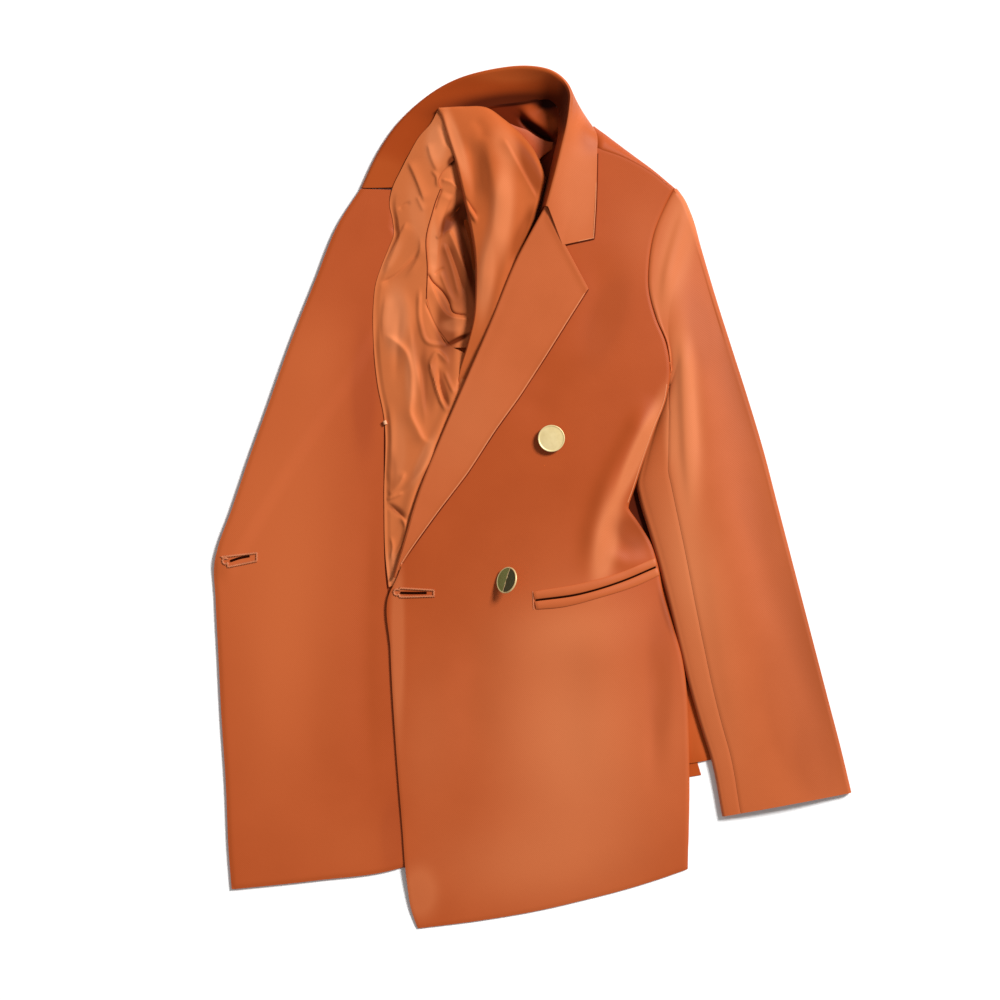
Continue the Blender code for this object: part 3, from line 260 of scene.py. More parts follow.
# Colours of each cloth: ground, its lighter grain, the colour of its painted highlights (light) and of its painted
# shade (deep).
# A spot paints light or shade into the colour: (x, y, half width, half length, turn, strength); a strength below zero
# paints shade.
cloth = {
    "suiting": {
        "colour": (0.378, 0.061, 0.0085), "lighter": (0.408, 0.069, 0.011),
        "light": (0.62, 0.18, 0.063), "deep": (0.285, 0.047, 0.006),
        "paintedShading": [(39, -238, 220, 330, 8, 0.72), (39, -131, 150, 84, 10, 0.5), (-3, -365, 260, 130, 8, 0.4),
                  (147, -233, 60, 180, 0, 0.15), (-108, -243, 90, 230, 0, 0.2), (112, 262, 90, 110, 0, 0.15),
                  (104, 45, 15, 120, -24, 0.8), (73, -43, 24, 90, -10, 0.75), (98, -36, 26, 36, 40, -0.7),
                  (73, 175, 36, 100, -20, -0.3), (-135, -143, 13, 170, 0, 0.35), (127, -183, 26, 130, 0, -0.3),
                  (134, -116, 9, 46, 17, -0.8), (-113, -395, 34, 50, 0, 0.35)],
    },
    "facing": {
        "colour": (0.372, 0.06, 0.0085), "lighter": (0.4, 0.067, 0.011),
        "light": (0.49, 0.103, 0.024), "deep": (0.31, 0.045, 0.007),
        "paintedShading": [(-248, -103, 170, 560, -4, 1), (-169, 105, 24, 120, 0, -0.5), (-225, 137, 90, 130, -20, 0.6),
                  (-141, -339, 22, 64, 0, -0.4), (-183, -353, 130, 110, 0, 0.4), (-271, -3, 120, 330, -22, 0.7)],
    },
    # The sleeve's ground is a lighter copy of the suiting, partly painted light for the same cloth lying lit; the
    # lapels and welts wear it too
    "sleeve": {
        "colour": (0.455, 0.095, 0.022), "lighter": (0.49, 0.106, 0.027),
        "light": (0.62, 0.182, 0.064), "deep": (0.335, 0.064, 0.011),
        "paintedShading": [(151, 72, 30, 190, 2, 0.8), (143, 247, 34, 140, -14, 0.6), (157, -73, 70, 220, 14, 0.8),
                  (179, -203, 70, 220, 14, 0.3), (279, -163, 70, 400, 16, -1), (209, 107, 64, 260, 20, -0.8),
                  (-63, 77, 120, 140, 0, 0.25), (281, -265, 40, 80, 16, -0.4), (138, 67, 14, 64, 0, 0.6),
                  (253, -225, 36, 150, 15, -0.3), (223, -17, 30, 90, 15, -0.25), (167, 165, 24, 76, 10, -0.35)],
    },
    # A lighter copy of the suiting, partly painted light
    "collar": {
        "colour": (0.47, 0.1, 0.023), "lighter": (0.505, 0.112, 0.028),
        "light": (0.6, 0.165, 0.056), "deep": (0.33, 0.057, 0.008),
        "paintedShading": [(45, 307, 40, 90, 0, 0.35), (39, 397, 16, 40, 0, -0.5), (57, 357, 22, 34, 0, -0.5)],
    },
    # The collar's stand side: a darker copy of the collar cloth, painted shade, with painted light at its lit rim and
    # near-black painted shade low inside
    "stand": {
        "colour": (0.3, 0.043, 0.0055), "lighter": (0.325, 0.049, 0.007),
        "light": (0.4, 0.075, 0.014), "deep": (0.078, 0.01, 0.0016),
        "paintedShading": [(-153, 319, 60, 40, 0, 0.6), (-21, 389, 130, 27, 4, -1), (33, 385, 16, 60, 0, -0.9),
                  (-15, 421, 84, 18, 0, 0.8)],
    },
    # The back's deep spots paint near-black shadow in the gaps beside the sleeve; its light spot paints a highlight on
    # the strip at its side
    "back": {
        "colour": (0.378, 0.061, 0.0085), "lighter": (0.408, 0.069, 0.011),
        "light": (0.43, 0.08, 0.016), "deep": (0.06, 0.007, 0.0015),
        "paintedShading": [(107, -23, 70, 70, 0, -1), (149, -168, 34, 44, 0, -0.9), (167, -238, 40, 40, 0, 0.6)],
    },
    # The back's neck facing: its cloth darkened to painted shade where it lies deep in the neck, with a painted
    # highlight along its fold
    "neck": {
        "colour": (0.12, 0.013, 0.002), "lighter": (0.14, 0.016, 0.002),
        "light": (0.33, 0.05, 0.008), "deep": (0.018, 0.002, 0.0006),
        "paintedShading": [(8, 379, 15, 44, 54, 0.9), (15, 393, 26, 13, 0, -1), (5, 365, 7, 42, 54, -1),
                  (-19, 393, 56, 7, 4, -0.8), (16, 307, 12, 60, -12, 0.5)],
    },
    "satin": {
        "colour": (0.535, 0.137, 0.04), "lighter": (0.575, 0.152, 0.046),
        "light": (0.66, 0.208, 0.08), "deep": (0.13, 0.02, 0.004),
        "paintedShading": [(-137, 177, 24, 60, 0, 0.9), (-121, 122, 12, 60, 0, 0.6), (-96, 352, 20, 40, 0, 0.9),
                  (-115, 282, 16, 60, 10, 0.4), (-99, 247, 8, 50, 0, 0.8), (-79, 222, 22, 80, 14, -0.6),
                  (-66, 235, 9, 84, 14, -0.85), (-82, 276, 10, 34, -31, -0.75), (-71, 282, 12, 26, 0, -0.9),
                  (-81, 334, 7, 12, -30, -0.9), (-87, 167, 20, 48, 0, -0.55), (-86, 162, 16, 100, 4, -0.45),
                  (-113, 151, 14, 44, 0, -0.3), (-103, 117, 14, 80, 0, -0.28), (-135, 47, 16, 60, 0, 0.3),
                  (-88, 103, 6, 34, 14, -0.5), (-109, 112, 8, 60, 0, -0.3), (-136, -13, 18, 8, -35, -0.4),
                  (-141, 239, 10, 34, -30, 0.4), (-109, 37, 10, 50, -24, 0.6), (-78, 171, 24, 12, 0, 0.3),
                  (-141, 25, 10, 36, 0, -0.25), (-141, -72, 12, 34, 0, 0.6), (-86, 274, 9, 22, -20, -0.8),
                  (-75, 157, 5, 26, -63, -1)],
    },
    # The tucked sleeve: a lighter copy of the suiting, partly painted light
    "tucked": {
        "colour": (0.46, 0.097, 0.023), "lighter": (0.5, 0.111, 0.028),
        "light": (0.64, 0.192, 0.071), "deep": (0.25, 0.043, 0.006),
        "paintedShading": [(-30, 285, 20, 90, -4, 0.8), (-46, 222, 16, 80, -6, 0.7), (-76, 351, 11, 70, 18, 0.8),
                  (-48, 322, 11, 52, 6, -0.35), (-2, 325, 15, 62, 24, -0.9), (-9, 262, 16, 60, -25, -0.6),
                  (-28, 347, 22, 40, 20, 0.4)],
    },
}


def startMaterial(name):
    made = bpy.data.materials.new(name)
    made.use_nodes = True
    tree = made.node_tree
    return made, tree, tree.nodes["Principled BSDF"], tree.nodes.new("ShaderNodeTexCoord").outputs["Object"]


def feed(tree, node, sockets):  # each socket takes a value, or a link from another node
    for name, value in sockets.items():
        if isinstance(value, bpy.types.NodeSocket):
            tree.links.new(value, node.inputs[name])
        else:
            node.inputs[name].default_value = value


def addNode(tree, kind, output, sockets, **settings):
    node = setAll(tree.nodes.new("ShaderNode" + kind), **settings)
    feed(tree, node, sockets)
    return node.outputs[output]


def addRamp(tree, share, colours, stops=(0, 1)):
    shade = addNode(tree, "ValToRGB", "Color", {"Fac": share})
    for mark, stop, colour in zip(shade.node.color_ramp.elements, stops, colours):
        mark.position = stop
        mark.color = (*colour, 1)
    return shade


def clothMaterial(name):
    look = cloth[name]
    made, tree, shader, where = startMaterial(name)
    grain = addNode(tree, "TexNoise", "Fac", {"Vector": where, "Scale": 900, "Detail": 4, "Roughness": 0.65})
    patches = addNode(tree, "TexNoise", "Fac", {"Vector": where, "Scale": 22, "Detail": 3})  # uneven dye and nap
    twill = addNode(tree, "TexWave", "Fac", {"Vector": where, "Scale": 330, "Distortion": 1.4, "Detail": 1},
                    wave_type="BANDS", bands_direction="DIAGONAL")  # fine rib
    blend = addNode(tree, "Math", "Value", {0: grain, 1: 0.45, 2: patches}, operation="MULTIPLY_ADD")
    shade = addRamp(tree, blend, (look["colour"], look["lighter"]), (0.45, 0.95))
    size = lay["grade"] * 0.001
    # each spot mixes in a painted highlight or a painted shade
    for x, y, wide, long, turn, strength in look["paintedShading"]:
        place = addNode(tree, "Mapping", "Vector", {
            "Vector": where, "Location": tuple(toWorld([x, y, 0])), "Rotation": (0, 0, math.radians(turn)),
            "Scale": (wide * size, long * size, 0.2)}, vector_type="TEXTURE")
        spread = addNode(tree, "TexGradient", "Fac", {"Vector": place}, gradient_type="QUADRATIC_SPHERE")
        core = weave["smallCore"] if wide * long < weave["wideSpot"] else weave["wideCore"]
        amount = addNode(tree, "MapRange", "Result", {"Value": spread, "From Max": core, "To Max": abs(strength)},
                         interpolation_type="SMOOTHSTEP")
        paintedTone = (*look["light" if strength > 0 else "deep"], 1)
        shade = addNode(tree, "Mix", 2, {"Factor": amount, 6: shade, 7: paintedTone}, data_type="RGBA")
    relief = addNode(tree, "Math", "Value", {0: twill, 1: 0.5, 2: grain}, operation="MULTIPLY_ADD")
    crepe = weave["crepe"] * (weave["satinShare"] if name == "satin" else 1)
    feed(tree, shader, {
        "Base Color": shade,
        "Normal": addNode(tree, "Bump", "Normal", {"Height": relief, "Strength": crepe, "Distance": 0.0004}),
        "Roughness": addNode(tree, "MapRange", "Result", {
            "Value": grain, "To Min": weave["roughness"] + 0.05, "To Max": weave["roughness"] - 0.05}),
        "Specular IOR Level": weave["deepGloss" if name in weave["inside"] else "gloss"],
        "Sheen Weight": weave["sheen"], "Sheen Roughness": weave["sheenRough"], "Sheen Tint": (1, 0.62, 0.42, 1),
    })
    return made


# green and darkGreen paint a reflection on the tilted lower button's face
gold = {
    "bright": (0.78, 0.62, 0.31), "worn": (0.7, 0.54, 0.25), "green": (0.2, 0.225, 0.062),
    "darkGreen": (0.055, 0.056, 0.016), "rough": 0.42,
}


def goldMaterial(name, bright, worn, metal):
    made, tree, shader, where = startMaterial(name)
    scratches = addNode(tree, "TexNoise", "Fac", {"Vector": where, "Scale": 420, "Detail": 6})
    patches = addNode(tree, "TexNoise", "Fac", {"Vector": where, "Scale": 90})
    feed(tree, shader, {
        "Base Color": addRamp(tree, patches, (worn, bright), (0.35, 0.6)),
        "Roughness": addNode(tree, "MapRange", "Result", {
            "Value": scratches, "To Min": gold["rough"] - 0.06, "To Max": gold["rough"] + 0.08}),
        "Normal": addNode(tree, "Bump", "Normal", {"Height": scratches, "Strength": 0.12, "Distance": 0.0002}),
        "Metallic": metal,
    })
    return made


# Thread colours; dark, deep and edge are not thread but painted shadow in slits, painted shade under edges and in a
# seam, and painted highlight along edges
thread = {"light": (0.6, 0.17, 0.055), "dark": (0.022, 0.003, 0.001), "deep": (0.15, 0.018, 0.004),
          "tack": (0.8, 0.38, 0.19), "edge": (0.76, 0.27, 0.115)}


def threadMaterial(name, colour, sheen=0.2, gloss=0.4):
    made, tree, shader, where = startMaterial(name)
    ply = addNode(tree, "TexWave", "Fac", {"Vector": where, "Scale": 700}, bands_direction="DIAGONAL")
    feed(tree, shader, {
        "Base Color": addRamp(tree, ply, ([c * 0.75 for c in colour], colour)),
        "Normal": addNode(tree, "Bump", "Normal", {"Height": ply, "Strength": 0.4, "Distance": 0.0002}),
        "Roughness": 0.5, "Sheen Weight": sheen, "Specular IOR Level": gloss,
    })
    return made


suiting, facingCloth, sleeveCloth, collarCloth, paintedShadeStandCloth, backCloth, paintedShadeNeckCloth, satin, tuckedCloth = (
    clothMaterial(name) for name in cloth)
goldFace = goldMaterial("gold", gold["bright"], gold["worn"], 0.35)
paintedReflection = goldMaterial("paintedReflection", gold["green"], gold["green"], 0.2)
paintedReflectionDark = goldMaterial("painted_reflection_dark", gold["darkGreen"], gold["darkGreen"], 0.2)
threadLight = threadMaterial("buttonhole_thread", thread["light"])
# near-black curve for the shadow in slits: painted shadow
paintedShadowThread = threadMaterial("slit_painted_shadow", thread["dark"], 0.0, 0.0)
# dark curve for the shade under turned edges and in the lining's armhole seam: painted shade
paintedShadeThread = threadMaterial("edge_painted_shade", thread["deep"], 0.0, 0.05)
threadTack = threadMaterial("tack_thread", thread["tack"])
# light curve along turned edges: painted highlight
paintedHighlightEdge = threadMaterial("edge_painted_highlight", thread["edge"], 0.05, 0.2)
print("materials made")


# The left front
leftFront = {
    "shoulderSeam": [(44, 352), (65, 345), (90, 336.4), (106, 328.4), (116, 322.6), (138, 305.4)],
    "tuck": [
        (44, 352), (33, 322), (18, 288), (-9, 238), (-36, 174), (-62, 114), (-86, 59), (-108, 4), (-124, -46),
        (-137, -84), (-143, -96), (-142, -153), (-137, -243), (-130, -333), (-126, -383), (-121, -414), (-115, -431),
    ],
    "side": [
        (138, 305.4), (128, 285), (119, 262), (114, 232), (114, 205), (121, 177), (131, 152), (135, 125), (131, 99),
        (119, 67), (108, 35), (99, 7), (94.5, -6), (93.4, -10.5), (95.5, -14.5), (101, -22), (109, -34), (116, -46),
        (122, -63), (128, -93), (138, -128), (147, -158), (152, -193), (154, -233), (155, -303), (154, -372),
    ],
    "hem": [(-115, -431), (-48, -422.4), (11, -412), (52, -402.4), (89, -393), (122, -383), (154, -372)],
    "pins": [
        (44, 353, 30), (117, 325, 27), (139, 307, 24), (10, 285, 31), (-17, 235, 28), (-43, 172, 24), (-69, 112, 20),
        (-93, 57, 16.5), (-115, 2, 13.5), (-130, -48, 10.8), (-141, -88, 7.8), (-141, -153, 6.2), (-137, -243, 5.8),
        (-130, -333, 5.6), (-124, -375, 5.2), (-119, -408, 2.8), (-115, -431, 1.5), (-48, -423, 1.5), (11, -413, 1.5),
        (89, -393, 1.5), (154, -372, 1.5), (135, 125, 23), (119, 67, 21.5), (108, 35, 19.5), (93, -11, 16),
        (109, -47, 9.5), (121, -64, 9), (128, -93, 9.5), (147, -158, 8), (154, -233, 6.6), (155, -303, 4),
        (119, 262, 23.8), (114, 205, 23.3), (67, 297, 29), (67, 237, 27), (27, 167, 24.5), (67, 97, 23.5),
        (-13, 47, 19.5), (67, 17, 21), (27, -63, 16.5), (-53, -63, 13.5), (67, -103, 16), (107, -143, 13),
        (7, -183, 12.5), (-73, -183, 9.8), (87, -223, 12), (7, -283, 9.5), (107, -303, 7), (-73, -323, 7),
        (27, -373, 4),
    ],
    "folds": [
        ([(122, 102), (104, 67), (79, 17), (64, -30), (57, -59), (44, -81)], 4.8, 12, 12, 0.2, 0.25),
        ([(122, -48), (107, -37), (89, -31)], -0.8, 9, 11, 0.35, 0.5),
        ([(70, -55), (95, -65), (119, -56)], 1.6, 7, 7, 0.4, 0.4),
        ([(-53, -115), (-58, -193), (-67, -303)], -2, 22, 28, 0.3, 0.45),
        ([(73, -107), (69, -183), (63, -303)], 2, 26, 34, 0.3, 0.4),
        ([(123, -143), (122, -213), (119, -303)], -1.2, 8, 11, 0.3, 0.4),
        ([(20, 150), (7, 102), (-8, 60)], -1.4, 24, 24, 0.4, 0.4),
        ([(67, 257), (65, 197), (47, 137)], -1.6, 16, 24, 0.4, 0.4),
    ],
    "rims": ((0.35, 1.2), (0.5, 1.6), (0.25, 1.2), (0.5, 2)),  # drop and width at the left, right, top and foot
    "tucks": [("right", 0.8, 2.6)],  # side, reach and drop of an edge that runs on under its neighbour
    "breakY": (-70, 20),  # where the left edge starts to roll off, and over how much
    "columns": 126, "rows": 290, "flat": (0.3, 0.76), "area": 0.156,
}

frontPinned = pinnedSurface(leftFront["pins"])


def frontHeight(plan):
    return np.maximum(frontPinned(plan) + foldRelief(leftFront["folds"], plan), shellZ)


def makeLeftFront():
    look = leftFront
    us, vs = closeEnds(look["columns"]), closeEnds(look["rows"])
    plan = coonsPatch(look["shoulderSeam"], look["hem"], look["tuck"], look["side"], us, vs)
    grid = withHeight(plan, frontHeight(plan))
    left, right, top, foot = rimDips(grid, look["rims"])
    breakY, fade = look["breakY"]
    grid[..., 2] -= left * smoothStep((breakY - plan[..., 1]) / fade)
    grid[..., 2] -= right + top + foot
    grid = tuckSides(grid, look["tucks"])
    grid[..., 2] = np.maximum(grid[..., 2], shellZ)
    layCloth("left_front", ["front_left"], grid, suiting)


makeLeftFront()
print("left front laid")


# The left lapel
leftLapel = {
    "roll": [(10, 285), (-17, 235), (-43, 172), (-69, 112), (-93, 57), (-115, 2), (-130, -48), (-139.5, -80)],
    "edge": [
        (54, 206), (37, 179), (12, 139), (-14, 99), (-37, 67), (-65, 24), (-94.7, -15), (-113.6, -41), (-124.3, -56),
        (-132, -68),
    ],
    "gorge": [(10, 285), (17, 273), (23, 260), (28, 248), (42, 228), (54, 206)],
    "break": [(-139.5, -80), (-132, -68)],
    "radius": (1.4, 0.8),  # of the roll, at the gorge and at the break
    "above": 0.2,  # air between the front and the roll
    "edgeRise": (0.6, 2.4), "edgeDip": (0.4, 0.8), "gorgeRise": (0.7, 5),
    "underCollar": (3.4, 0.3, 27.5),  # reach and drop of the seam to the collar, and the x where it ends
    "rows": 170, "bend": 10, "columns": 34,
    "folds": [
        ([(-5, 237), (-33, 167), (-71, 77)], 0.5, 16, 22, 0.3, 0.4),
    ],
    "flat": (0.1, 0.41), "area": 0.0175,
}


def makeLeftLapel():
    look = leftLapel
    shares = closeEnds(look["rows"], 0.3)
    roll = linePoints(look["roll"], shares)
    plan = coonsPatch(look["gorge"], look["break"], look["roll"], look["edge"], [0, 0.5, 1], shares)
    away = leftOf(unit(linePoints(look["roll"], shares + 0.01) - linePoints(look["roll"], shares - 0.01)))
    radius = look["radius"][0] + (look["radius"][1] - look["radius"][0]) * shares
    centre = roll + away * (lay["cloth"] / 2 + radius)[:, None]
    low = frontHeight(centre) + look["above"]
    columns = []
    for turn in np.linspace(0, math.pi, look["bend"] + 1):
        spot = centre - away * (radius * math.sin(turn))[:, None]
        columns.append(withHeight(spot, low + radius * (1 - math.cos(turn))))
    for share in closeEnds(look["columns"] + 1)[1:]:
        spot = centre + (plan[:, -1] - centre) * share
        lying = frontHeight(spot) + lay["cloth"] + lay["seam"] + look["above"]
        soft = np.maximum((2 * radius - lay["cloth"] - lay["seam"]) * (1 - share) ** 2, 0)
        columns.append(withHeight(spot, lying + soft))
    grid = np.stack(columns, 1)
    flat = np.linspace(0, 1, grid.shape[1])[None]
    grid[..., 2] += foldRelief(look["folds"], grid) * smoothStep((flat - 0.3) / 0.2)
    _, right, top, _ = edgeDistance(grid)
    grid[..., 2] += rollOff(right, *look["edgeRise"]) - rollOff(right, *look["edgeDip"])
    grid[..., 2] += rollOff(top, *look["gorgeRise"]) * smoothStep((flat - 0.25) / 0.1)
    reach, drop, end = look["underCollar"]
    grid = tuckUnder(grid, "top", reach * smoothStep((end - grid[0, :, 0]) / 3)[:, None], drop)
    layCloth("left_lapel", ["lapel_left"], grid, sleeveCloth)


makeLeftLapel()
print("left lapel rolled")


# The opened right front: shell below, facing above, lapel turned under
rightFront = {
    "edge": [
        (-172, 307.6), (-193, 275), (-217, 217), (-241, 157), (-266, 87), (-284, 37), (-301, -13), (-315, -52),
        (-318, -66), (-317, -103), (-314, -163), (-311, -223), (-307, -283), (-304, -353), (-301, -392),
    ],
    "inner": [
        (-140, 306.6), (-136, 290), (-134, 262), (-139, 238), (-147, 210), (-150, 180), (-149, 97), (-149, -3),
        (-147, -83), (-137, -143), (-129, -263), (-122, -367),
    ],
    "top": [(-172, 307.6), (-140, 306.6)],
    "hem": [(-301, -392), (-216, -383), (-138, -372), (-122, -367)],
    "roll": [(-316, -59), (-172, 310)],  # of the turned lapel, from break to gorge
    "lapelSpan": (0.05, 0.975), "fromRoll": 1.2,
    "lapelWidth": [(0, 1.5), (0.27, 19), (0.55, 44), (0.86, 62), (0.93, 30), (0.985, 24)],
    "startFade": 0.06,  # share of the roll over which the cover starts, past the break
    "beside": 9, "step": 16,  # how far out, and over what width, the cloth settles beside the turned lapel
    "facingZ": 3,
    "facingDip": 0.9,  # at most, at its edges
    "underLining": 14,  # how far the shell runs on under the lining and the back
    "columns": 66, "rows": 230,
    "folds": [
        ([(-161, 27), (-166, -63), (-167, -203), (-161, -323)], -0.9, 16, 10),
        ([(-203, 197), (-233, 77), (-265, -23)], 0.5, 18, 22, 0.4, 0.4),
        ([(-278, -103), (-271, -203), (-275, -323)], 0.45, 20, 24, 0.4, 0.4),
        ([(-215, -103), (-221, -223), (-213, -343)], -0.4, 18, 18, 0.4, 0.4),
    ],
    "rims": ((0.9, 2.6), None, None, (0.8, 2.4)),
    "facing": {"flat": (0.18, 0.7), "area": 0.088},
    "shell": {"flat": (0.2, 0.7), "area": 0.098},
    "lapel": {"flat": (0.06, 0.37), "area": 0.0115},
}
lapelStart, lapelEnd = np.array(rightFront["roll"], float)
lapelLong = np.linalg.norm(lapelEnd - lapelStart)
lapelWay = (lapelEnd - lapelStart) / lapelLong


def lapelCover(plan):  # 1 over the lapel turned under the opened front, falling to 0 beside it
    dx, dy = plan[..., 0] - lapelStart[0], plan[..., 1] - lapelStart[1]
    share = (dx * lapelWay[0] + dy * lapelWay[1]) / lapelLong
    inside = dx * lapelWay[1] - dy * lapelWay[0]
    look = rightFront
    width = np.interp(share, *zip(*look["lapelWidth"]))
    begun = smoothStep((share + look["startFade"]) / look["startFade"])
    return begun * (1 - smoothStep((inside - width - look["beside"]) / look["step"]))


def makeRightFront():
    look = rightFront
    lift = lay["cloth"] + lay["seam"]
    us, vs = closeEnds(look["columns"]), closeEnds(look["rows"])
    plan = coonsPatch(look["top"], look["hem"], look["edge"], look["inner"], us, vs)
    grid = withHeight(plan, look["facingZ"] + lift * lapelCover(plan) + foldRelief(look["folds"], plan))
    left, _, _, foot = rimDips(grid, look["rims"])
    grid[..., 2] = np.maximum(grid[..., 2] - (left + foot), look["facingZ"] - look["facingDip"])
    layCloth("right_facing", ["facing_right"], grid, facingCloth)
    inner = [(x + look["underLining"], y) for x, y in look["inner"]]
    hem = look["hem"][:-1] + [inner[-1]]
    plan = coonsPatch([look["top"][0], inner[0]], hem, look["edge"], inner, closeEnds(28), closeEnds(90))
    shell = withHeight(plan, shellZ + lift * lapelCover(plan))
    layCloth("right_front", ["front_right"], shell, suiting)
    shares = np.linspace(*look["lapelSpan"], 60)
    width = np.interp(shares, *zip(*look["lapelWidth"]))[:, None]
    across = look["fromRoll"] + (width - look["fromRoll"]) * np.linspace(0, 1, 12)[None]
    roll = lapelStart + (lapelEnd - lapelStart) * shares[:, None]
    plan = roll[:, None] + np.array([lapelWay[1], -lapelWay[0]]) * across[..., None]
    folded = withHeight(plan, np.full(plan.shape[:2], shellZ))
    layCloth("right_lapel", ["lapel_right"], folded, sleeveCloth)


makeRightFront()
print("right front opened out")


# The lining
bodyLining = {
    "left": [
        (-94, 387), (-101, 373), (-113, 359.5), (-124, 340.5), (-132, 325), (-140, 308), (-143, 293), (-140, 276),
        (-139, 262), (-144, 248), (-152, 228), (-157, 212), (-159, 194), (-159, 152), (-155, 112), (-149, 82),
        (-148.6, -3), (-147, -63), (-144, -90),
    ],
    "right": [
        (-86, 385), (-79, 352), (-77, 337), (-84, 330), (-92, 321), (-95, 313), (-92, 306), (-97, 293), (-100, 283),
        (-106, 259), (-105, 227), (-106, 197), (-99, 175), (-81, 150), (-67, 142), (-63, 101), (-83, 57), (-105, 2),
        (-120, -48), (-132, -86),
    ],
    "top": [(-94, 387), (-86, 385)],
    "foot": [(-144, -90), (-132, -86)],
    "pins": [
        (-94, 386, 12), (-86, 385, 16), (-75, 104, 15.5), (-72, 128, 13), (-113, 360, 9), (-127, 338, 7.9),
        (-137, 319, 7.3), (-142, 293, 7), (-140, 268, 7.4), (-150, 235, 6.9), (-158, 197, 6.6), (-159, 152, 5.2),
        (-149, 82, 4.7), (-148.6, -3, 4.6), (-147, -63, 4.5), (-144, -90, 4.5), (-140, 197, 9.5), (-130, 240, 11),
        (-120, 300, 12.5), (-108, 340, 14), (-112, 180, 14), (-125, 140, 11.5), (-125, 80, 10.5), (-125, 20, 9.4),
        (-130, -30, 7.6), (-100, 150, 12.5), (-95, 80, 13.5), (-110, 30, 12.2), (-92, 307, 17.6), (-99, 283, 17),
        (-106, 259, 17), (-105, 227, 17), (-106, 197, 16), (-99, 175, 13.5), (-81, 150, 9), (-79, 352, 21),
        (-77, 338, 21.5), (-84, 330, 20), (-94, 316, 18), (-67, 142, 11), (-63, 101, 17), (-83, 57, 15),
        (-105, 2, 12.2), (-120, -48, 9.6), (-132, -86, 7), (-84, 372, 19),
    ],
    "folds": [
        ([(-125, 336), (-118, 321), (-107, 292)], 1.9, 1.8, 6, 0.2, 0.2, 1.4),
        ([(-116, 300), (-112, 291), (-108, 283)], 0.9, 1.8, 4, 0.2, 0.3, 1.4),
        ([(-105, 353), (-101, 337), (-94, 322)], 1.3, 2, 5, 0.2, 0.2, 1.4),
        ([(-135, 286), (-129, 291), (-121, 294)], -1, 2.5, 1.4, 0.3, 0.3, 1.4),
        ([(-92, 374), (-89, 361), (-83, 345)], -1.2, 3, 2.5),
        ([(-102, 326), (-96, 318), (-96, 307)], 1.3, 1.4, 3, 0.3, 0.3, 1.5),
        ([(-125, 275), (-137, 253), (-152, 224)], 1.5, 1.2, 6, 0.15, 0.2, 1.4),
        ([(-112, 247), (-123, 234), (-141, 219), (-154, 213)], -1.9, 1.3, 6, 0.2, 0.2, 1.4),
        ([(-113, 262), (-112, 247), (-119, 229), (-129, 217)], 1.1, 2, 4, 0.3, 0.3, 1.5),
        ([(-145, 205), (-149, 177), (-148, 152)], 1.2, 3, 8, 0.3, 0.4),
        ([(-150, 163), (-136, 154), (-127, 145), (-122, 131), (-121, 102), (-122, 83), (-116, 69), (-108, 56),
          (-96, 53)], 2.6, 7, 3, 0.12, 0.15, 1.4),
        ([(-124, 179), (-119, 140), (-112, 107), (-107, 67)], 1.5, 5, 3, 0.25, 0.25, 1.5),
        ([(-114, 145), (-109, 112), (-106, 79)], -1.6, 3, 6),
        ([(-93, 50), (-105, 32), (-121, 15), (-136, 3)], 1.8, 5, 3, 0.2, 0.3, 1.5),
        ([(-84, 131), (-90, 140), (-95, 144), (-101, 137), (-98, 115), (-93, 99), (-84, 81)],
         2.5, 1.8, 3.5, 0.12, 0.2, 1.5),
        ([(-94, 131), (-94, 117), (-90, 100), (-82, 86)], -2.6, 1.6, 3.5, 0.2, 0.2, 1.5),
        ([(-89, 127), (-83, 112), (-77, 100)], 1.6, 1.5, 2, 0.25, 0.3, 1.5),
        ([(-74, 121), (-74, 105)], -1.6, 1.2, 1.6, 0.3, 0.3, 1.4),
        ([(-127, 26), (-134, 12), (-145, 0)], 1.7, 4, 2.5, 0.25, 0.2, 1.5),
        ([(-148, -3), (-139, 0), (-128, 5)], 1.3, 1.6, 2, 0.2, 0.3, 1.5),
        ([(-147, -7), (-136, -14), (-125, -25)], -2.4, 2, 2.6, 0.2, 0.3, 1.5),
        ([(-134, -16), (-127.5, -28), (-130, -44), (-139, -61)], 1.7, 2, 3, 0.2, 0.3, 1.5),
        ([(-142, -38), (-140, -51), (-143, -65)], 1.1, 1.6, 2.4, 0.3, 0.3, 1.5),
        ([(-149, 57), (-147, 27), (-141, 11)], 1, 3, 5),
        ([(-133, 213), (-125, 177), (-129, 155)], 1.1, 8, 6, 0.4, 0.4),
        ([(-113, 210), (-112, 172), (-106, 155), (-86, 151)], 1.4, 2.4, 2, 0.2, 0.15),
        ([(-108, 195), (-97, 171), (-86, 150)], -1.9, 1.4, 1.2, 0.2, 0.15, 1.5),
        ([(-143, 97), (-141, 57), (-143, 27)], 0.8, 3, 4),
        ([(-131, 197), (-135, 157), (-137, 107)], -0.9, 4, 4, 0.4, 0.4),
        ([(-75, 116), (-96, 61), (-118, 8), (-133, -44)], 2.4, 6, 3.2, 0.1, 0.25),
    ],
    "tucks": [("top", 1, 1)],
    "onFacing": 1.1, "facingEnd": 306, "columns": 96, "rows": 420, "flat": (0.11, 0.49), "area": 0.024,
}
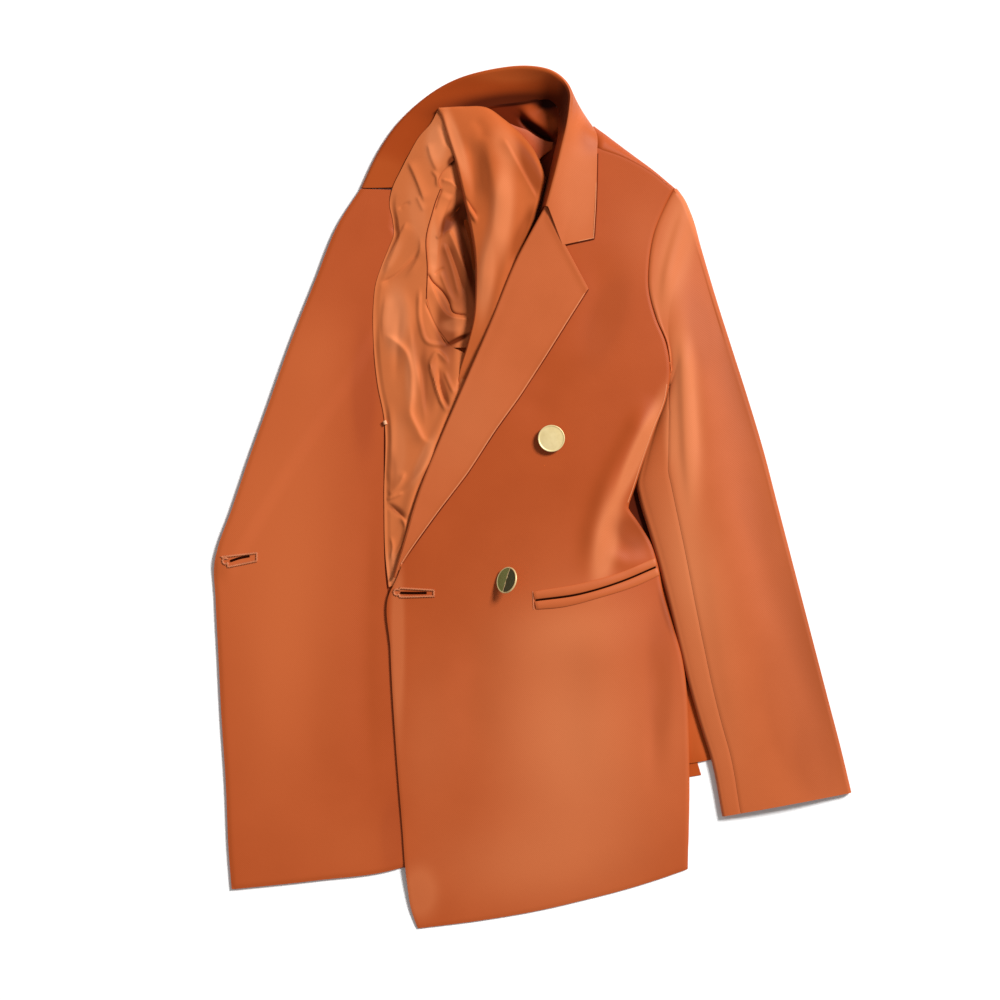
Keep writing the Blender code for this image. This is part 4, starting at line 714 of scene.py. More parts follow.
sleeveLining = {
    "left": [
        (-76, 336), (-83, 329), (-91, 320), (-94, 313), (-91, 306), (-96, 293), (-99, 283), (-105, 259), (-104, 227),
        (-105, 197), (-98, 175), (-80, 149),
    ],
    "right": [(-69, 336), (-64, 317), (-56, 280), (-50, 242), (-49, 207), (-51, 177), (-58, 149)],
    "top": [(-76, 336), (-69, 336)],
    "foot": [(-80, 149), (-58, 149)],
    "pins": [
        (-76, 336, 17), (-84, 328, 17.5), (-92, 317, 16.8), (-92, 306, 16.5), (-82, 316, 17.5), (-80, 306, 16.5),
        (-99, 283, 15.8), (-105, 258, 15.8), (-104, 227, 15.8), (-105, 197, 14.8), (-98, 175, 12.3), (-80, 149, 7.6),
        (-68, 318, 12), (-74, 290, 8), (-78, 280, 7.4), (-64, 290, 6.4), (-56, 280, 6.2), (-50, 242, 6.2),
        (-49, 207, 6.2), (-51, 177, 6.2), (-58, 149, 6.2), (-84, 240, 10), (-78, 200, 9.5), (-64, 210, 7),
        (-88, 262, 12),
    ],
    "folds": [
        ([(-81, 302), (-89, 283), (-93, 263), (-96, 245), (-97, 229)], 2.2, 8, 1.8, 0.1, 0.2, 2.4),
        ([(-92, 316), (-82, 313), (-73, 305)], 1.3, 3, 1.4, 0.2, 0.2, 1.5),
        ([(-92, 325), (-86, 329), (-79, 334)], -1.6, 1.6, 1.6, 0.2, 0.2, 1.5),
        ([(-90, 308), (-95, 295), (-99, 283)], -1.2, 1.2, 1.2, 0.2, 0.2, 1.5),
        ([(-97, 257), (-90, 263)], 1, 1.6, 1.6, 0.3, 0.3, 1.5),
        ([(-86, 275), (-78, 285), (-71, 294)], -3.4, 4, 3, 0.3, 0.2),
        ([(-84, 266), (-80, 257), (-71, 235), (-61, 208)], 3, 4, 1.9, 0.06, 0.15, 1.5),
        ([(-90, 254), (-82, 232), (-73, 197)], 2, 3, 2.6, 0.15, 0.2, 1.5),
        ([(-86, 254), (-77, 229), (-68, 202)], -1.5, 1.8, 2, 0.2, 0.2, 1.5),
        ([(-93, 225), (-86, 207), (-78, 191)], 1.4, 2, 2.2, 0.2, 0.3, 1.5),
        ([(-71, 285), (-63, 257), (-58, 213)], -2.6, 3.5, 5, 0.2, 0.25),
        ([(-103, 212), (-83, 180), (-62, 177)], 2, 6, 1.4, 0.15, 0.15, 1.6),
        ([(-106, 224), (-101, 215), (-90, 204), (-84, 194), (-81, 185), (-62, 181)], -2.3, 1.3, 1.3, 0.1, 0.15, 1.5),
        ([(-99, 221), (-93, 226), (-88, 229)], -1.2, 1.3, 1.3, 0.2, 0.3, 1.5),
        ([(-87, 151), (-76, 157), (-63, 162)], -1.8, 1.6, 2.2, 0.2, 0.2, 1.5),
    ],
    "tucks": [("left", 4.5, 1), ("right", 3.5, 0.6)],
    "columns": 96, "rows": 280, "flat": (0.06, 0.19), "area": 0.0098,
}


def liningHeight(look, plan):
    return pinnedSurface(look["pins"])(plan) + foldRelief(look["folds"], plan)


def makeLining():
    for name, look, node in (("body_lining", bodyLining, "lining_body"),
                             ("right_sleeve_lining", sleeveLining, "lining_sleeve_right")):
        us, vs = closeEnds(look["columns"], 0.35), closeEnds(look["rows"], 0.2)
        plan = coonsPatch(look["top"], look["foot"], look["left"], look["right"], us, vs)
        height = liningHeight(look, plan)
        if look is bodyLining:  # its left edge lies on the facing
            facingTop = rightFront["facingZ"] + (lay["cloth"] + lay["seam"]) * lapelCover(plan) + look["onFacing"]
            below = smoothStep((look["facingEnd"] - plan[..., 1]) / 16)
            inward = 1 - (1 - smoothStep(edgeDistance(plan)[0] / 7)) * below
            height = facingTop + (height - facingTop) * inward
        grid = withHeight(plan, np.maximum(height, lay["nest"] - 0.6))
        grid = tuckSides(grid, look["tucks"])
        layCloth(name, [node], grid, satin, lay["lining"], lay["thinRim"], "satin")


makeLining()
print("lining laid")


# The back's neck facing
neckFacing = {
    "top": [(-66, 382), (-40, 387), (-12, 390.6), (5.5, 393.4), (16.5, 393.4), (24.6, 384.5)],
    "right": [(24.6, 384.5), (25.4, 373), (23.5, 357), (19.5, 339), (14.5, 318), (10, 300)],
    "left": [(-66, 382), (-57, 347), (-50, 318)],
    "foot": [(-50, 318), (-20, 310), (10, 300)],
    "pins": [
        (-93, 389, 11), (-66, 382, 10.6), (-40, 387, 12.8), (-12, 390, 14.6), (5, 393, 16), (16, 393, 17),
        (24, 384, 17.6), (25, 372, 17), (23.5, 357, 14.5), (19.5, 339, 11), (14.5, 318, 8.2), (10, 300, 7),
        (-50, 318, 6.7), (-20, 310, 6.7), (-57, 347, 6.8), (-40, 352, 6.8), (-15, 358, 7), (4, 345, 7.2),
        (-20, 330, 6.7), (5, 318, 7),
    ],
    "folds": [
        ([(-15, 390), (-3, 376), (10, 367), (24, 358)], 4, 2.2, 8, 0.3, 0.12, 1.7),
        ([(-15, 381), (-3, 367), (12, 358), (24, 354)], -4.5, 2.6, 2.2, 0.2, 0.15),
        ([(5, 393), (16, 386), (24, 375)], -4, 7, 7, 0.25, 0.3),
    ],
    "floor": 6.4,
    "tucks": [("top", 2.6, -1.7), ("right", 2.2, -3.2)],
    "flat": (0.09, 0.09), "area": 0.0068,
}
neckHeight = pinnedSurface(neckFacing["pins"])


def makeNeckFacing():
    look = neckFacing
    plan = coonsPatch(look["top"], look["foot"], look["left"], look["right"], closeEnds(90), closeEnds(90))
    grid = withHeight(plan, np.maximum(neckHeight(plan) + foldRelief(look["folds"], plan), look["floor"]))
    layCloth("back_neck_facing_cloth", ["back_neck_facing"], tuckSides(grid, look["tucks"]), paintedShadeNeckCloth,
             lay["lining"], lay["thinRim"])


makeNeckFacing()


# The right sleeve, pushed inside the body and folded on itself
tuckedSleeve = {
    "top": [(-93, 386), (-70, 387), (-46, 385.5), (-31, 375.5), (-14, 361), (1, 342.5), (8, 328)],
    "left": [
        (-93, 386), (-86, 362), (-77, 332), (-69, 302), (-62, 272), (-57, 242), (-56, 207), (-58, 177), (-64, 152),
        (-73, 122), (-76, 101),
    ],
    "right": [(8, 328), (11, 316), (8, 300), (3, 283), (-9, 249), (-24, 209), (-46, 157), (-66, 101)],
    "foot": [(-76, 101), (-66, 101)],
    "pins": [
        (-86, 378, 19), (-80, 352, 22.5), (-60, 378, 25), (-40, 372, 28), (-66, 330, 25), (-48, 345, 29),
        (-28, 352, 31.5), (-35, 300, 32), (-14, 330, 31.5), (8, 325, 29), (-54, 285, 26), (-32, 255, 30),
        (-8, 290, 30.5), (4, 285, 31), (-8, 250, 28.5), (-46, 220, 25.5), (-28, 212, 26), (-48, 180, 22.5),
        (-44, 160, 22.5), (-58, 140, 18.5), (-66, 115, 15.5), (-70, 101, 12.5),
    ],
    "folds": [
        ([(-66, 361), (-60, 337), (-58, 312), (-58, 285)], -2.8, 7, 9),
        ([(-91, 386), (-85, 363), (-75, 333), (-68, 299)], 1.5, 1, 4, 0.1, 0.2, 1.4),
        ([(-55, 361), (-45, 351), (-41, 332), (-36, 301), (-39, 265), (-47, 235), (-51, 187)], 2.4, 6, 11, 0.2, 0.2),
        ([(-30, 357), (-18, 334), (-3, 307), (4, 294)], 1.3, 5, 1, 0.12, 0.15, 1.3),
        ([(-69, 294), (-63, 284), (-56, 273)], 1.4, 1.6, 2.4, 0.2, 0.2, 1.4),
        ([(-70, 302), (-63, 290), (-55, 278)], -1.4, 1.2, 1.2, 0.2, 0.2, 1.5),
        ([(-4, 291), (-7, 265), (-23, 222)], -1.8, 6, 7),
        ([(-21, 257), (-33, 207), (-46, 157)], 1.2, 5, 5),
        ([(-61, 377), (-51, 365), (-49, 351)], -1, 5, 6),
        ([(-71, 301), (-63, 285), (-55, 271)], 1.2, 1.4, 2.2, 0.15, 0.15, 1.4),
    ],
    "base": 7.8, "overNeck": 2.2, "round": 0.1, "leftRound": 0.02,
    "upright": 0.35,  # share of the height at the rim of its rounded sides
    "foldFrom": 0.45, "foldInside": (-7, -9), "foldZ": (5, 2.2),
    "rings": [(0.8, -0.5), (0.55, -0.7), (0.3, -0.4), (0.05, 0.2)],  # down its sides: share of the height, inset
    "underfold": [(-25, 372), (-18, 369), (-6, 365), (5, 358), (14, 354), (22, 352), (19, 347), (12, 343), (3, 340)],
    "flat": (0.11, 0.31), "area": 0.0213,
    "fold": {"flat": (0.03, 0.075), "area": 0.00125},
}


def tuckedBase(plan):
    return np.maximum(tuckedSleeve["base"], neckHeight(plan) + tuckedSleeve["overNeck"])


def wrapDown(grid, levels, base):  # rings of points down the side of a heap, from the grid's rim
    down, across = grid.shape[:2]
    rim = [(0, i) for i in range(across)] + [(j, across - 1) for j in range(1, down)]
    rim += [(down - 1, i) for i in range(across - 2, -1, -1)] + [(j, 0) for j in range(down - 2, 0, -1)]
    rows, columns = np.array(rim).T
    points = grid[rows, columns]
    inwards = -leftOf(unit(np.roll(points[:, :2], -1, 0) - np.roll(points[:, :2], 1, 0)))
    low = base(points)
    rings = [withHeight(points[:, :2] + inwards * inset, low + (points[:, 2] - low) * share) for share, inset in levels]
    return rows * across + columns, rings


def sheetFromRings(name, grid, rimIndex, rings, wall, finish):
    faces = gridFaces(*grid.shape[:2])
    points = [toWorld(grid).reshape(-1, 3)]
    before, start, count = rimIndex.tolist(), len(points[0]), len(rimIndex)
    for ring in rings:
        points.append(toWorld(ring))
        after = list(range(start, start + count))
        for k in range(count):
            n = (k + 1) % count
            faces.append([before[k], before[n], after[n], after[k]])
        before, start = after, start + count
    piece = makeMesh(name, np.concatenate(points), faces, finish)
    thicken(piece, wall)
    return piece


def makeTuckedSleeve():
    look = tuckedSleeve
    us, vs = closeEnds(84, 0.6), closeEnds(190, 0.5)
    plan = coonsPatch(look["top"], look["foot"], look["left"], look["right"], us, vs)
    u, v = us[None], vs[:, None]
    rounding = 1.0
    for share in (u / look["leftRound"], v / look["round"], (1 - u) / (look["round"] / 2)):
        rounding = rounding * np.sqrt(np.clip(1 - (1 - np.minimum(share, 1)) ** 2, 0, 1))
    low = tuckedBase(plan) + 3.0
    top = pinnedSurface(look["pins"])(plan) + foldRelief(look["folds"], plan)
    height = low + np.maximum(top - low, 0) * (look["upright"] + (1 - look["upright"]) * rounding)
    grid = withHeight(plan, height - lay["cloth"] / 2)
    rimIndex, rings = wrapDown(grid, look["rings"], tuckedBase)
    piece = sheetFromRings("tucked_right_sleeve", grid, rimIndex, rings, lay["cloth"], tuckedCloth)
    dress(piece, "suiting", "sleeve_right")
    # the lower layer of the fold, seen past the upper right edge
    rim = linePoints(look["top"], np.linspace(look["foldFrom"], 1, 50))
    shown = linePoints(look["underfold"], np.linspace(0, 1, 50))
    inside, (above, drop) = np.array(look["foldInside"], float), look["foldZ"]
    rows = []
    for share in np.linspace(1, 0, 11):
        spot = rim + inside * (1 - share) + (shown - rim) * share
        rows.append(withHeight(spot, tuckedBase(rim) + above - drop * share**3))
    fold = np.stack(rows)
    layCloth("tucked_sleeve_underfold", [], fold, facingCloth, 1.2, 0.4)


makeTuckedSleeve()
print("right sleeve tucked in")


# The back: hidden layers, seen at the side and at the hem
back = {
    "top": [
        (-135, 306), (-97, 333), (-58, 366), (-30, 378), (0, 384), (24, 378), (38, 362), (58, 343), (88, 323),
        (112, 306), (139, 296),
    ],
    "left": [
        (-135, 306), (-130, 285), (-126, 250), (-128, 205), (-140, 150), (-146, 97), (-146, -3), (-144, -83),
        (-134, -143), (-124, -240), (-114, -292),
    ],
    "rightTop": [(139, 296), (137, 240), (134.5, 180), (131, 140)],
    "hem": [(-114, -292), (-20, -284), (90, -268), (157, -266), (176.3, -263)],
    "besideSleeve": 1.7, "clearance": 2.7, "ledge": (-8, -15), "rollValley": (20, 52), "sideValley": 16,
    "sideZ": 3, "rims": (None, (0.9, 5), None, (0.3, 2)),
    "underSleeve": (4.5, 0.4, 0.45),  # reach and drop of the edge tucked below the sleeve, and where it starts
    "wall": 1.2, "columns": 80, "rows": 150, "flat": (0.33, 0.66), "area": 0.163,
    "lower": {"flat": (0.27, 0.19)},
    "lowerZ": 0.62, "lowerFrom": 0.72,
}
sleeveLine = {
    "left": [
        (133.5, 122), (126, 96), (116, 66), (107, 34), (103, 12), (106, -3), (115, -33), (124, -63), (132, -93),
        (147, -153), (157, -193), (167, -228), (178, -263), (189, -319),
    ],
    "right": [
        (144.5, 305.4), (150, 298), (158, 281), (168, 247), (183, 197), (199, 147), (215, 97), (230, 47), (243, -3),
        (256, -53), (269, -103), (282, -153), (295, -203), (308, -253), (318, -295),
    ],
    "armhole": [
        (137.2, 123), (133.4, 153), (123.2, 178), (116, 205.2), (116, 232), (120.9, 261.2), (129.9, 284.3),
        (138, 299.4), (140.4, 303.2),
    ],
}


def backPlan(us, vs):
    right = back["rightTop"] + [(x - back["besideSleeve"], y) for x, y in sleeveLine["left"][:-1]]
    return coonsPatch(back["top"], back["hem"], back["left"], right, us, vs)


def backHeight(plan):
    path = [(44, 360)] + leftLapel["roll"] + [(-142, -153)]
    away, side, _ = pathDistance(path, plan)
    low, high = back["rollValley"]
    underFront = smoothStep((away * side - low) / (high - low))
    rise = lay["nest"] + (frontHeight(plan) - back["clearance"] - lay["nest"]) * underFront
    toLeft = np.linalg.norm(plan - plan[:, :1], axis=2)
    toRight = np.linalg.norm(plan - plan[:, -1:], axis=2)
    inside = smoothStep(np.minimum(toLeft, toRight) / back["sideValley"])
    return back["sideZ"] + np.maximum(rise - back["sideZ"], 0) * inside


def makeBack():
    us = closeEnds(back["columns"], 0.7)
    plan = backPlan(us, closeEnds(back["rows"], 0.4))
    grid = withHeight(plan, backHeight(plan) - back["wall"] / 2)
    _, right, _, foot = rimDips(grid, back["rims"])
    grid[..., 2] -= foot + right
    reach, drop, begin = back["underSleeve"]
    rows = np.arange(back["rows"]) / (back["rows"] - 1)
    grid = tuckUnder(grid, "right", reach * smoothStep((rows - begin) / 0.05)[:, None], drop)
    layCloth("back_cloth", ["back"], grid, backCloth, back["wall"])
    plan = backPlan(us, np.linspace(back["lowerFrom"], 1, 40))
    plan = plan + np.array(back["ledge"], float) * smoothStep(np.linspace(0, 1, 40))[:, None, None]
    under = withHeight(plan, np.full(plan.shape[:2], back["lowerZ"]))
    layCloth("back_lower_layer", [], under, backCloth, back["wall"])


makeBack()

shoulder = {
    "outer": [(60, 369), (66.7, 363.6), (77.7, 355.2), (98.7, 339.4), (118.7, 324.6), (139.4, 307.6), (142, 305.6)],
    "start": 0.12, "gap": 0.3,
    "sinks": ((5, 0.14), (1.2, 0.1)),  # drop at the neck end and at the sleeve end, over a share of the length
    "tucks": [("left", 1.8, 1.3)],
    "flat": (0.045, 0.11), "area": 0.0034,
}


def makeShoulder():
    look = shoulder
    share = np.linspace(0, 1, 60)
    near = linePoints(leftFront["shoulderSeam"], look["start"] + (1 - look["start"]) * share)
    far = linePoints(look["outer"], share)
    away = unit(far - near)
    start = near + away * look["gap"]
    top = frontHeight(near)
    middle = (top + shellZ) / 2
    columns = []
    for turn in np.linspace(0, math.pi, 25):
        if turn <= math.pi / 2:
            spot = start + (far - start) * math.sin(turn)
        else:
            spot = far - away * (1 - math.sin(turn))
        columns.append(withHeight(spot, middle + (top - middle) * math.cos(turn)))
    grid = np.stack(columns, 1)
    (neckDrop, neckWide), (headDrop, headWide) = look["sinks"]
    sink = neckDrop * (1 - smoothStep(share / neckWide)) + headDrop * smoothStep((share - (1 - headWide)) / headWide)
    grid[..., 2] -= sink[:, None]
    grid[..., 2] = np.maximum(grid[..., 2], shellZ)
    grid = tuckSides(grid, look["tucks"])
    layCloth("back_shoulder_cloth", ["back_shoulder"], grid, suiting)


makeShoulder()
print("back and shoulder laid")


# The collar, stand inside and fall outside
collar = {
    # middle of the bend, heading outwards, ends of the bend towards stand and fall, foot of the stand, fall's edge
    "rows": [
        ((-168.8, 308.3, 3.4), 180, 180, -180, (-138.5, 309, 5.2), (-133, 308, 1)),
        ((-151.5, 344, 3.4), 152, 180, -180, (-127, 337, 6.4), (-118, 327, 1)),
        ((-130.5, 374, 3.8), 138, 182, -180, (-109, 360, 7.8), (-99, 345, 1)),
        ((-102.8, 398.6, 5.8), 125, 187, -168, (-91, 381, 10.5), (-81, 363, 1)),
        ((-75.6, 413.6, 9.5), 113, 191, -145, (-68, 385, 11.5), (-59, 379, 1)),
        ((-45.2, 421.8, 15.5), 102, 196, -122, (-40, 389, 13.5), (-36, 397, 1)),
        ((-13, 425.2, 23), 92, 203, -106, (-12, 392, 15.5), (-10, 408, 1)),
        ((11.5, 421.8, 31), 76, 213, -98, (6, 395, 17), (14, 410, 1)),
        ((26.6, 412.8, 38), 52, 227, -93, (17, 395, 18), (31, 404, 2)),
        ((35.2, 399.6, 42), 22, 245, -84, (26, 385, 19), (42, 391, 5)),
        ((35.6, 384, 43.2), -4, 256, -62, (27, 373, 20), (55.5, 373, 13)),
        ((33.4, 366, 42.6), -12, 258, -40, (25, 357, 20), (63, 358, 27)),
        ((29, 346, 41.2), -15, 258, -26, (21, 339, 20), (63.2, 340.6, 32.4)),
        ((24, 325, 39.8), -16, 258, -21, (16, 318, 19.5), (62.8, 317, 32.2)),
        ((18.5, 304, 38.2), -17, 258, -18, (11, 298, 19), (62, 289, 31.2)),
        ((13.8, 287, 36.4), -18, 258, -17, (8, 283, 18.5), (60, 256, 30.4)),
    ],
    "notch": (28.6, 249.2, 32.2), "bend": 2.2, "standSteps": 16, "bendSteps": 10, "fallSteps": 28,
    "down": 220, "flat": (0.11, 0.42), "area": 0.026,
}


def collarSection(centre, out, standTurn, fallTurn, foot, edge):
    heading = math.radians(out)
    outwards = np.array([math.cos(heading), math.sin(heading), 0])
    upwards = np.array([0, 0, 1.0])

    def ray(degrees):
        turn = math.radians(degrees)
        return outwards * math.cos(turn) + upwards * math.sin(turn)

    def flap(start, way, end, steps):
        t = (np.arange(1, steps + 1) / steps)[:, None]
        control = start + way * (np.linalg.norm(np.array(end) - start) * 0.5)
        return start * (1 - t) ** 2 + control * (2 * t * (1 - t)) + np.array(end) * t * t

    turns = np.linspace(standTurn - 90, fallTurn + 90, collar["bendSteps"] + 1)
    bend = np.array([centre + ray(turn) * collar["bend"] for turn in turns])
    stand = flap(bend[0], ray(standTurn), foot, collar["standSteps"])
    fall = flap(bend[-1], ray(fallTurn), edge, collar["fallSteps"])
    return np.concatenate([stand[::-1], bend, fall])


def throughSections(sections, count):
    knots = np.array(sections, float)
    slopes = np.gradient(knots, axis=0)
    wanted = np.linspace(0, len(knots) - 1, count)
    span = np.clip(wanted.astype(int), 0, len(knots) - 2)
    return ease((wanted - span)[:, None, None], knots[span], knots[span + 1], slopes[span], slopes[span + 1])


def makeCollar():
    look = collar
    sections = [collarSection(*row) for row in look["rows"]]
    last, start = sections[-1], look["standSteps"] + look["bendSteps"]
    bendEnd, notch, edge = last[start].copy(), np.array(look["notch"]), last[-1].copy()
    half = look["fallSteps"] // 2
    for k in range(1, look["fallSteps"] + 1):
        t = k / half
        last[start + k] = bendEnd + (notch - bendEnd) * t if k <= half else notch + (edge - notch) * (t - 1)
    grid = throughSections(sections, look["down"])
    grid[..., 2] = np.maximum(grid[..., 2], 1.0)
    piece = layCloth("collar_cloth", ["collar"], grid, collarCloth)
    piece.data.materials.append(paintedShadeStandCloth)  # the side that lies against the neck, in a darker copy of the collar cloth: painted shade
    for side in piece.data.polygons:
        side.material_index = int(side.index % (grid.shape[1] - 1) < look["standSteps"] + look["bendSteps"] // 2)


makeCollar()
print("collar turned")


# The left sleeve
leftSleeve = {
    "measures": ("row", "leftAt", "rightAt", "leftFold", "rightFold", "crown", "seam"),  # of each row
    "rows": [
        (0, 0, 0, 23.9, 24.9, 0, 0), (0.1, 0.018, 0.09, 18.5, 19, 5, 0.01),
        (0.2, 0.04, 0.18, 15.5, 15, 8.5, 0.06), (0.3, 0.11, 0.28, 13, 12, 9.5, 0.16),
        (0.4, 0.22, 0.38, 11.5, 10.5, 9, 0.262), (0.5, 0.33, 0.48, 11, 10, 8, 0.22),
        (0.65, 0.52, 0.64, 9.8, 9, 6, 0.17), (0.8, 0.72, 0.79, 8.8, 8.4, 5, 0.145),
        (1, 1, 1, 8, 8, 4, 0.117),
    ],
    "steps": {"top": 58, "turn": 14, "strip": 6, "front": 12, "under": 13},  # columns of the two pieces
    "down": 230, "underSeam": 0.82, "foldReach": 4.6,
    "seamDips": ((0.45, 1.3), (0.35, 1.3)),  # beside the seam on top: the top piece and the under piece
    "headDip": (0.6, 1.8), "underarmRow": 0.156, "underarmEase": 1.2, "armholeFade": 0.3,
    "tucks": [("top", 2.4, 2.4)],
    "folds": [
        ([(153, 295), (143, 262), (132, 219), (129, 185)], 2, 5, 9, 0.2, 0.35),
        ([(148, 167), (150, 97), (153, 37), (159, -23)], 2, 5, 9, 0.2, 0.4),
        ([(159, 177), (162, 97), (169, 17)], -0.8, 5, 8, 0.3, 0.4),
        ([(172, -23), (189, -143), (209, -263)], 1, 12, 18),
        ([(205, 60), (240, -140)], -1, 16, 16),
        ([(167, 267), (183, 197), (193, 145)], -0.9, 9, 11),
    ],
    "top": {"flat": (0.19, 0.6), "area": 0.068},
    "under": {"flat": (0.125, 0.5), "area": 0.053},
}


def makeLeftSleeve():
    look = leftSleeve
    table = np.array(look["rows"], float)
    rows = closeEnds(look["down"], 0.35)
    at = {name: np.interp(rows, table[:, 0], table[:, k]) for k, name in enumerate(look["measures"])}
    for name in ("crown", "seam"):
        at[name] = np.convolve(np.pad(at[name], 14, "edge"), np.ones(29) / 29, "valid")  # softened along the rows

    def corner(hand, side):
        line = sleeveLine[hand]
        share = at[hand + "At"]
        inward = leftOf(unit(linePoints(line, share + 0.02) - linePoints(line, share - 0.02))) * side
        half = (at[hand + "Fold"] - lay["cloth"]) / 2
        reach = np.minimum(half, look["foldReach"])
        return linePoints(line, share) + inward * (lay["cloth"] / 2 + reach)[:, None], inward, half, reach

    left, leftIn, leftHalf, leftReach = corner("left", 1)
    right, rightIn, rightHalf, rightReach = corner("right", -1)
    bend = np.maximum(1 - rows / look["armholeFade"], 0) ** 1.4
    width = np.linalg.norm(right - left, axis=1)

    def top(u):  # u is a share for each row
        low = shellZ + 2 * (leftHalf * (1 - u) + rightHalf * u)
        spot = left + (right - left) * u[:, None]
        hole = linePoints(sleeveLine["armhole"], u) - (left[0] + (right[0] - left[0]) * u[:, None])
        spot = spot + hole * bend[:, None]
        crown = at["crown"] * np.sin(np.pi * np.clip(u, 0, 1)) ** np.where(u < 0.5, 0.75, 1.4)
        relief = foldRelief(look["folds"], spot) * smoothStep(rows / 0.08)
        return withHeight(spot, low + crown + relief)

    def foot(u):
        return withHeight(left + (right - left) * u[:, None], np.full(len(rows), shellZ))

    def foldedEdge(centre, inward, half, reach, turn):
        spot = centre - inward * (reach * math.sin(turn))[:, None]
        return withHeight(spot, shellZ + half * (1 + math.cos(turn)))

    seam, steps, (topDip, frontDip) = at["seam"], look["steps"], look["seamDips"]
    gap = (lay["seam"] + look["underarmEase"] * (1 - smoothStep(rows / 0.25))) / width
    columns = []
    for share in closeEnds(steps["top"], 0.4):
        u = seam + gap + (1 - seam - gap) * share
        part = top(u)
        part[:, 2] -= rollOff((u - seam - gap) * width, *topDip)
        columns.append(part)
    for turn in np.linspace(0, math.pi, steps["turn"] + 1)[1:]:
        columns.append(foldedEdge(right, rightIn, rightHalf, rightReach, turn))
    for share in np.linspace(0, 1, steps["strip"] + 1)[1:]:
        columns.append(foot(1 + (look["underSeam"] + gap - 1) * share))
    grid = np.stack(columns, 1)
    across = np.arange(grid.shape[1])[None]
    toHead = np.linalg.norm(grid[..., :2] - grid[:1, :, :2], axis=2)
    grid[..., 2] -= rollOff(toHead, *look["headDip"]) * (across < steps["top"])
    grid = tuckSides(grid, look["tucks"])
    grid[..., 2] = np.maximum(grid[..., 2], shellZ)
    nodes = ["sleeve_left_top", "sleeve_left_turn", "sleeve_left_strip"]
    layCloth("left_sleeve_top", nodes, grid, sleeveCloth)

    columns = []
    for share in np.linspace(0, 1, steps["front"]):
        u = (seam - gap) * (1 - share)
        part = top(u)
        part[:, 2] -= rollOff((seam - gap - u) * width, *frontDip)
        columns.append(part)
    for turn in np.linspace(0, math.pi, steps["turn"] + 1)[1:]:
        columns.append(foldedEdge(left, leftIn, leftHalf, leftReach, turn))
    for share in np.linspace(0, 1, steps["under"] + 1)[1:]:
        columns.append(foot((look["underSeam"] - gap) * share))
    grid = np.stack(columns[::-1], 1)[rows >= look["underarmRow"]]
    layCloth("left_sleeve_under", ["sleeve_left_under"], grid, sleeveCloth)


makeLeftSleeve()
print("left sleeve laid")


# The jetted pocket
pocket = {
    "top": [(0, -94), (47, -86), (87, -75), (121.6, -60.6)],
    "middle": [(1.5, -103), (47, -96.5), (87, -84.5), (123.4, -69.4)],
    "foot": [(3, -112), (27, -110), (67, -100), (107, -87), (126, -78)],
    "wall": 0.9, "crown": 1, "sunk": 0.45, "endSink": 0.5,
    "share": {"top": (0.02, 0.88), "middle": (0.12, 0.97)},  # each welt's span of its half of the pocket
    "flat": (0.01, 0.118),
}


def makePocket():
    lift = lay["cloth"] / 2 + lay["seam"] + pocket["wall"] / 2
    for name, upper, lower, node in (("pocket_upper_welt", "top", "middle", "welt_upper"),
                                     ("pocket_lower_welt", "middle", "foot", "welt_lower")):
        along = closeEnds(90, 0.3)
        near, far = linePoints(pocket[upper], along), linePoints(pocket[lower], along)
        low, high = pocket["share"][upper]
        across = low + (high - low) * closeEnds(12, 0.5)
        plan = near[:, None] + (far - near)[:, None] * across[None, :, None]
        swell = np.sin(np.pi * (across - low) / (high - low)) ** 0.6 * pocket["crown"]
        ends = smoothStep(np.minimum(along, 1 - along) / 0.02)[:, None]
        height = frontHeight(plan) + lift + swell[None] - pocket["sunk"] - pocket["endSink"] * (1 - ends)
        grid = withHeight(plan, height)
        layCloth(name, [node], grid, sleeveCloth, pocket["wall"], lay["thinRim"])


makePocket()
print("pocket set")


# Buttons
button = {
    "radius": 12.9,
    "face": [(0, 2.6), (0.3, 2.58), (0.55, 2.52), (0.74, 2.42), (0.84, 2.34), (0.87, 2.34), (0.9, 2.45),
             (0.93, 2.62), (0.955, 2.66), (0.98, 2.5), (1, 2.15), (1, 1.4), (0.98, 1), (0.9, 0.4), (0.5, 0)],
    # name, x, y, height above the cloth, lean, heading of the lean, length of the shank
    "places": [("button_upper", 18, 58, 2.8, 0, 0, 2.4), ("button_lower", -25, -83, 8.9, 46, 163, 8.8)],
    "dish": 11.481,  # radius of the face inside its raised rim
    "brightLine": 0.5,  # half width of the gold line left between the two halves of painted reflection
    "sides": 72,
}


def turned(name, profile, finish, sides):
    points, faces, rings = [], [], []
    for radius, z in profile:
        around = np.arange(sides if radius else 1) * 2 * math.pi / sides
        rings.append(range(len(points), len(points) + len(around)))
        points += [(radius * math.cos(a), radius * math.sin(a), z) for a in around]
    for upper, lower in zip(rings, rings[1:]):
        for k in range(sides):
            n = (k + 1) % sides
            if len(upper) == 1:
                faces.append((upper[0], lower[k], lower[n]))
            elif len(lower) == 1:
                faces.append((upper[k], lower[0], upper[n]))
            else:
                faces.append((upper[k], lower[k], lower[n], upper[n]))
    return makeMesh(name, np.array(points) * 0.001, faces, finish)


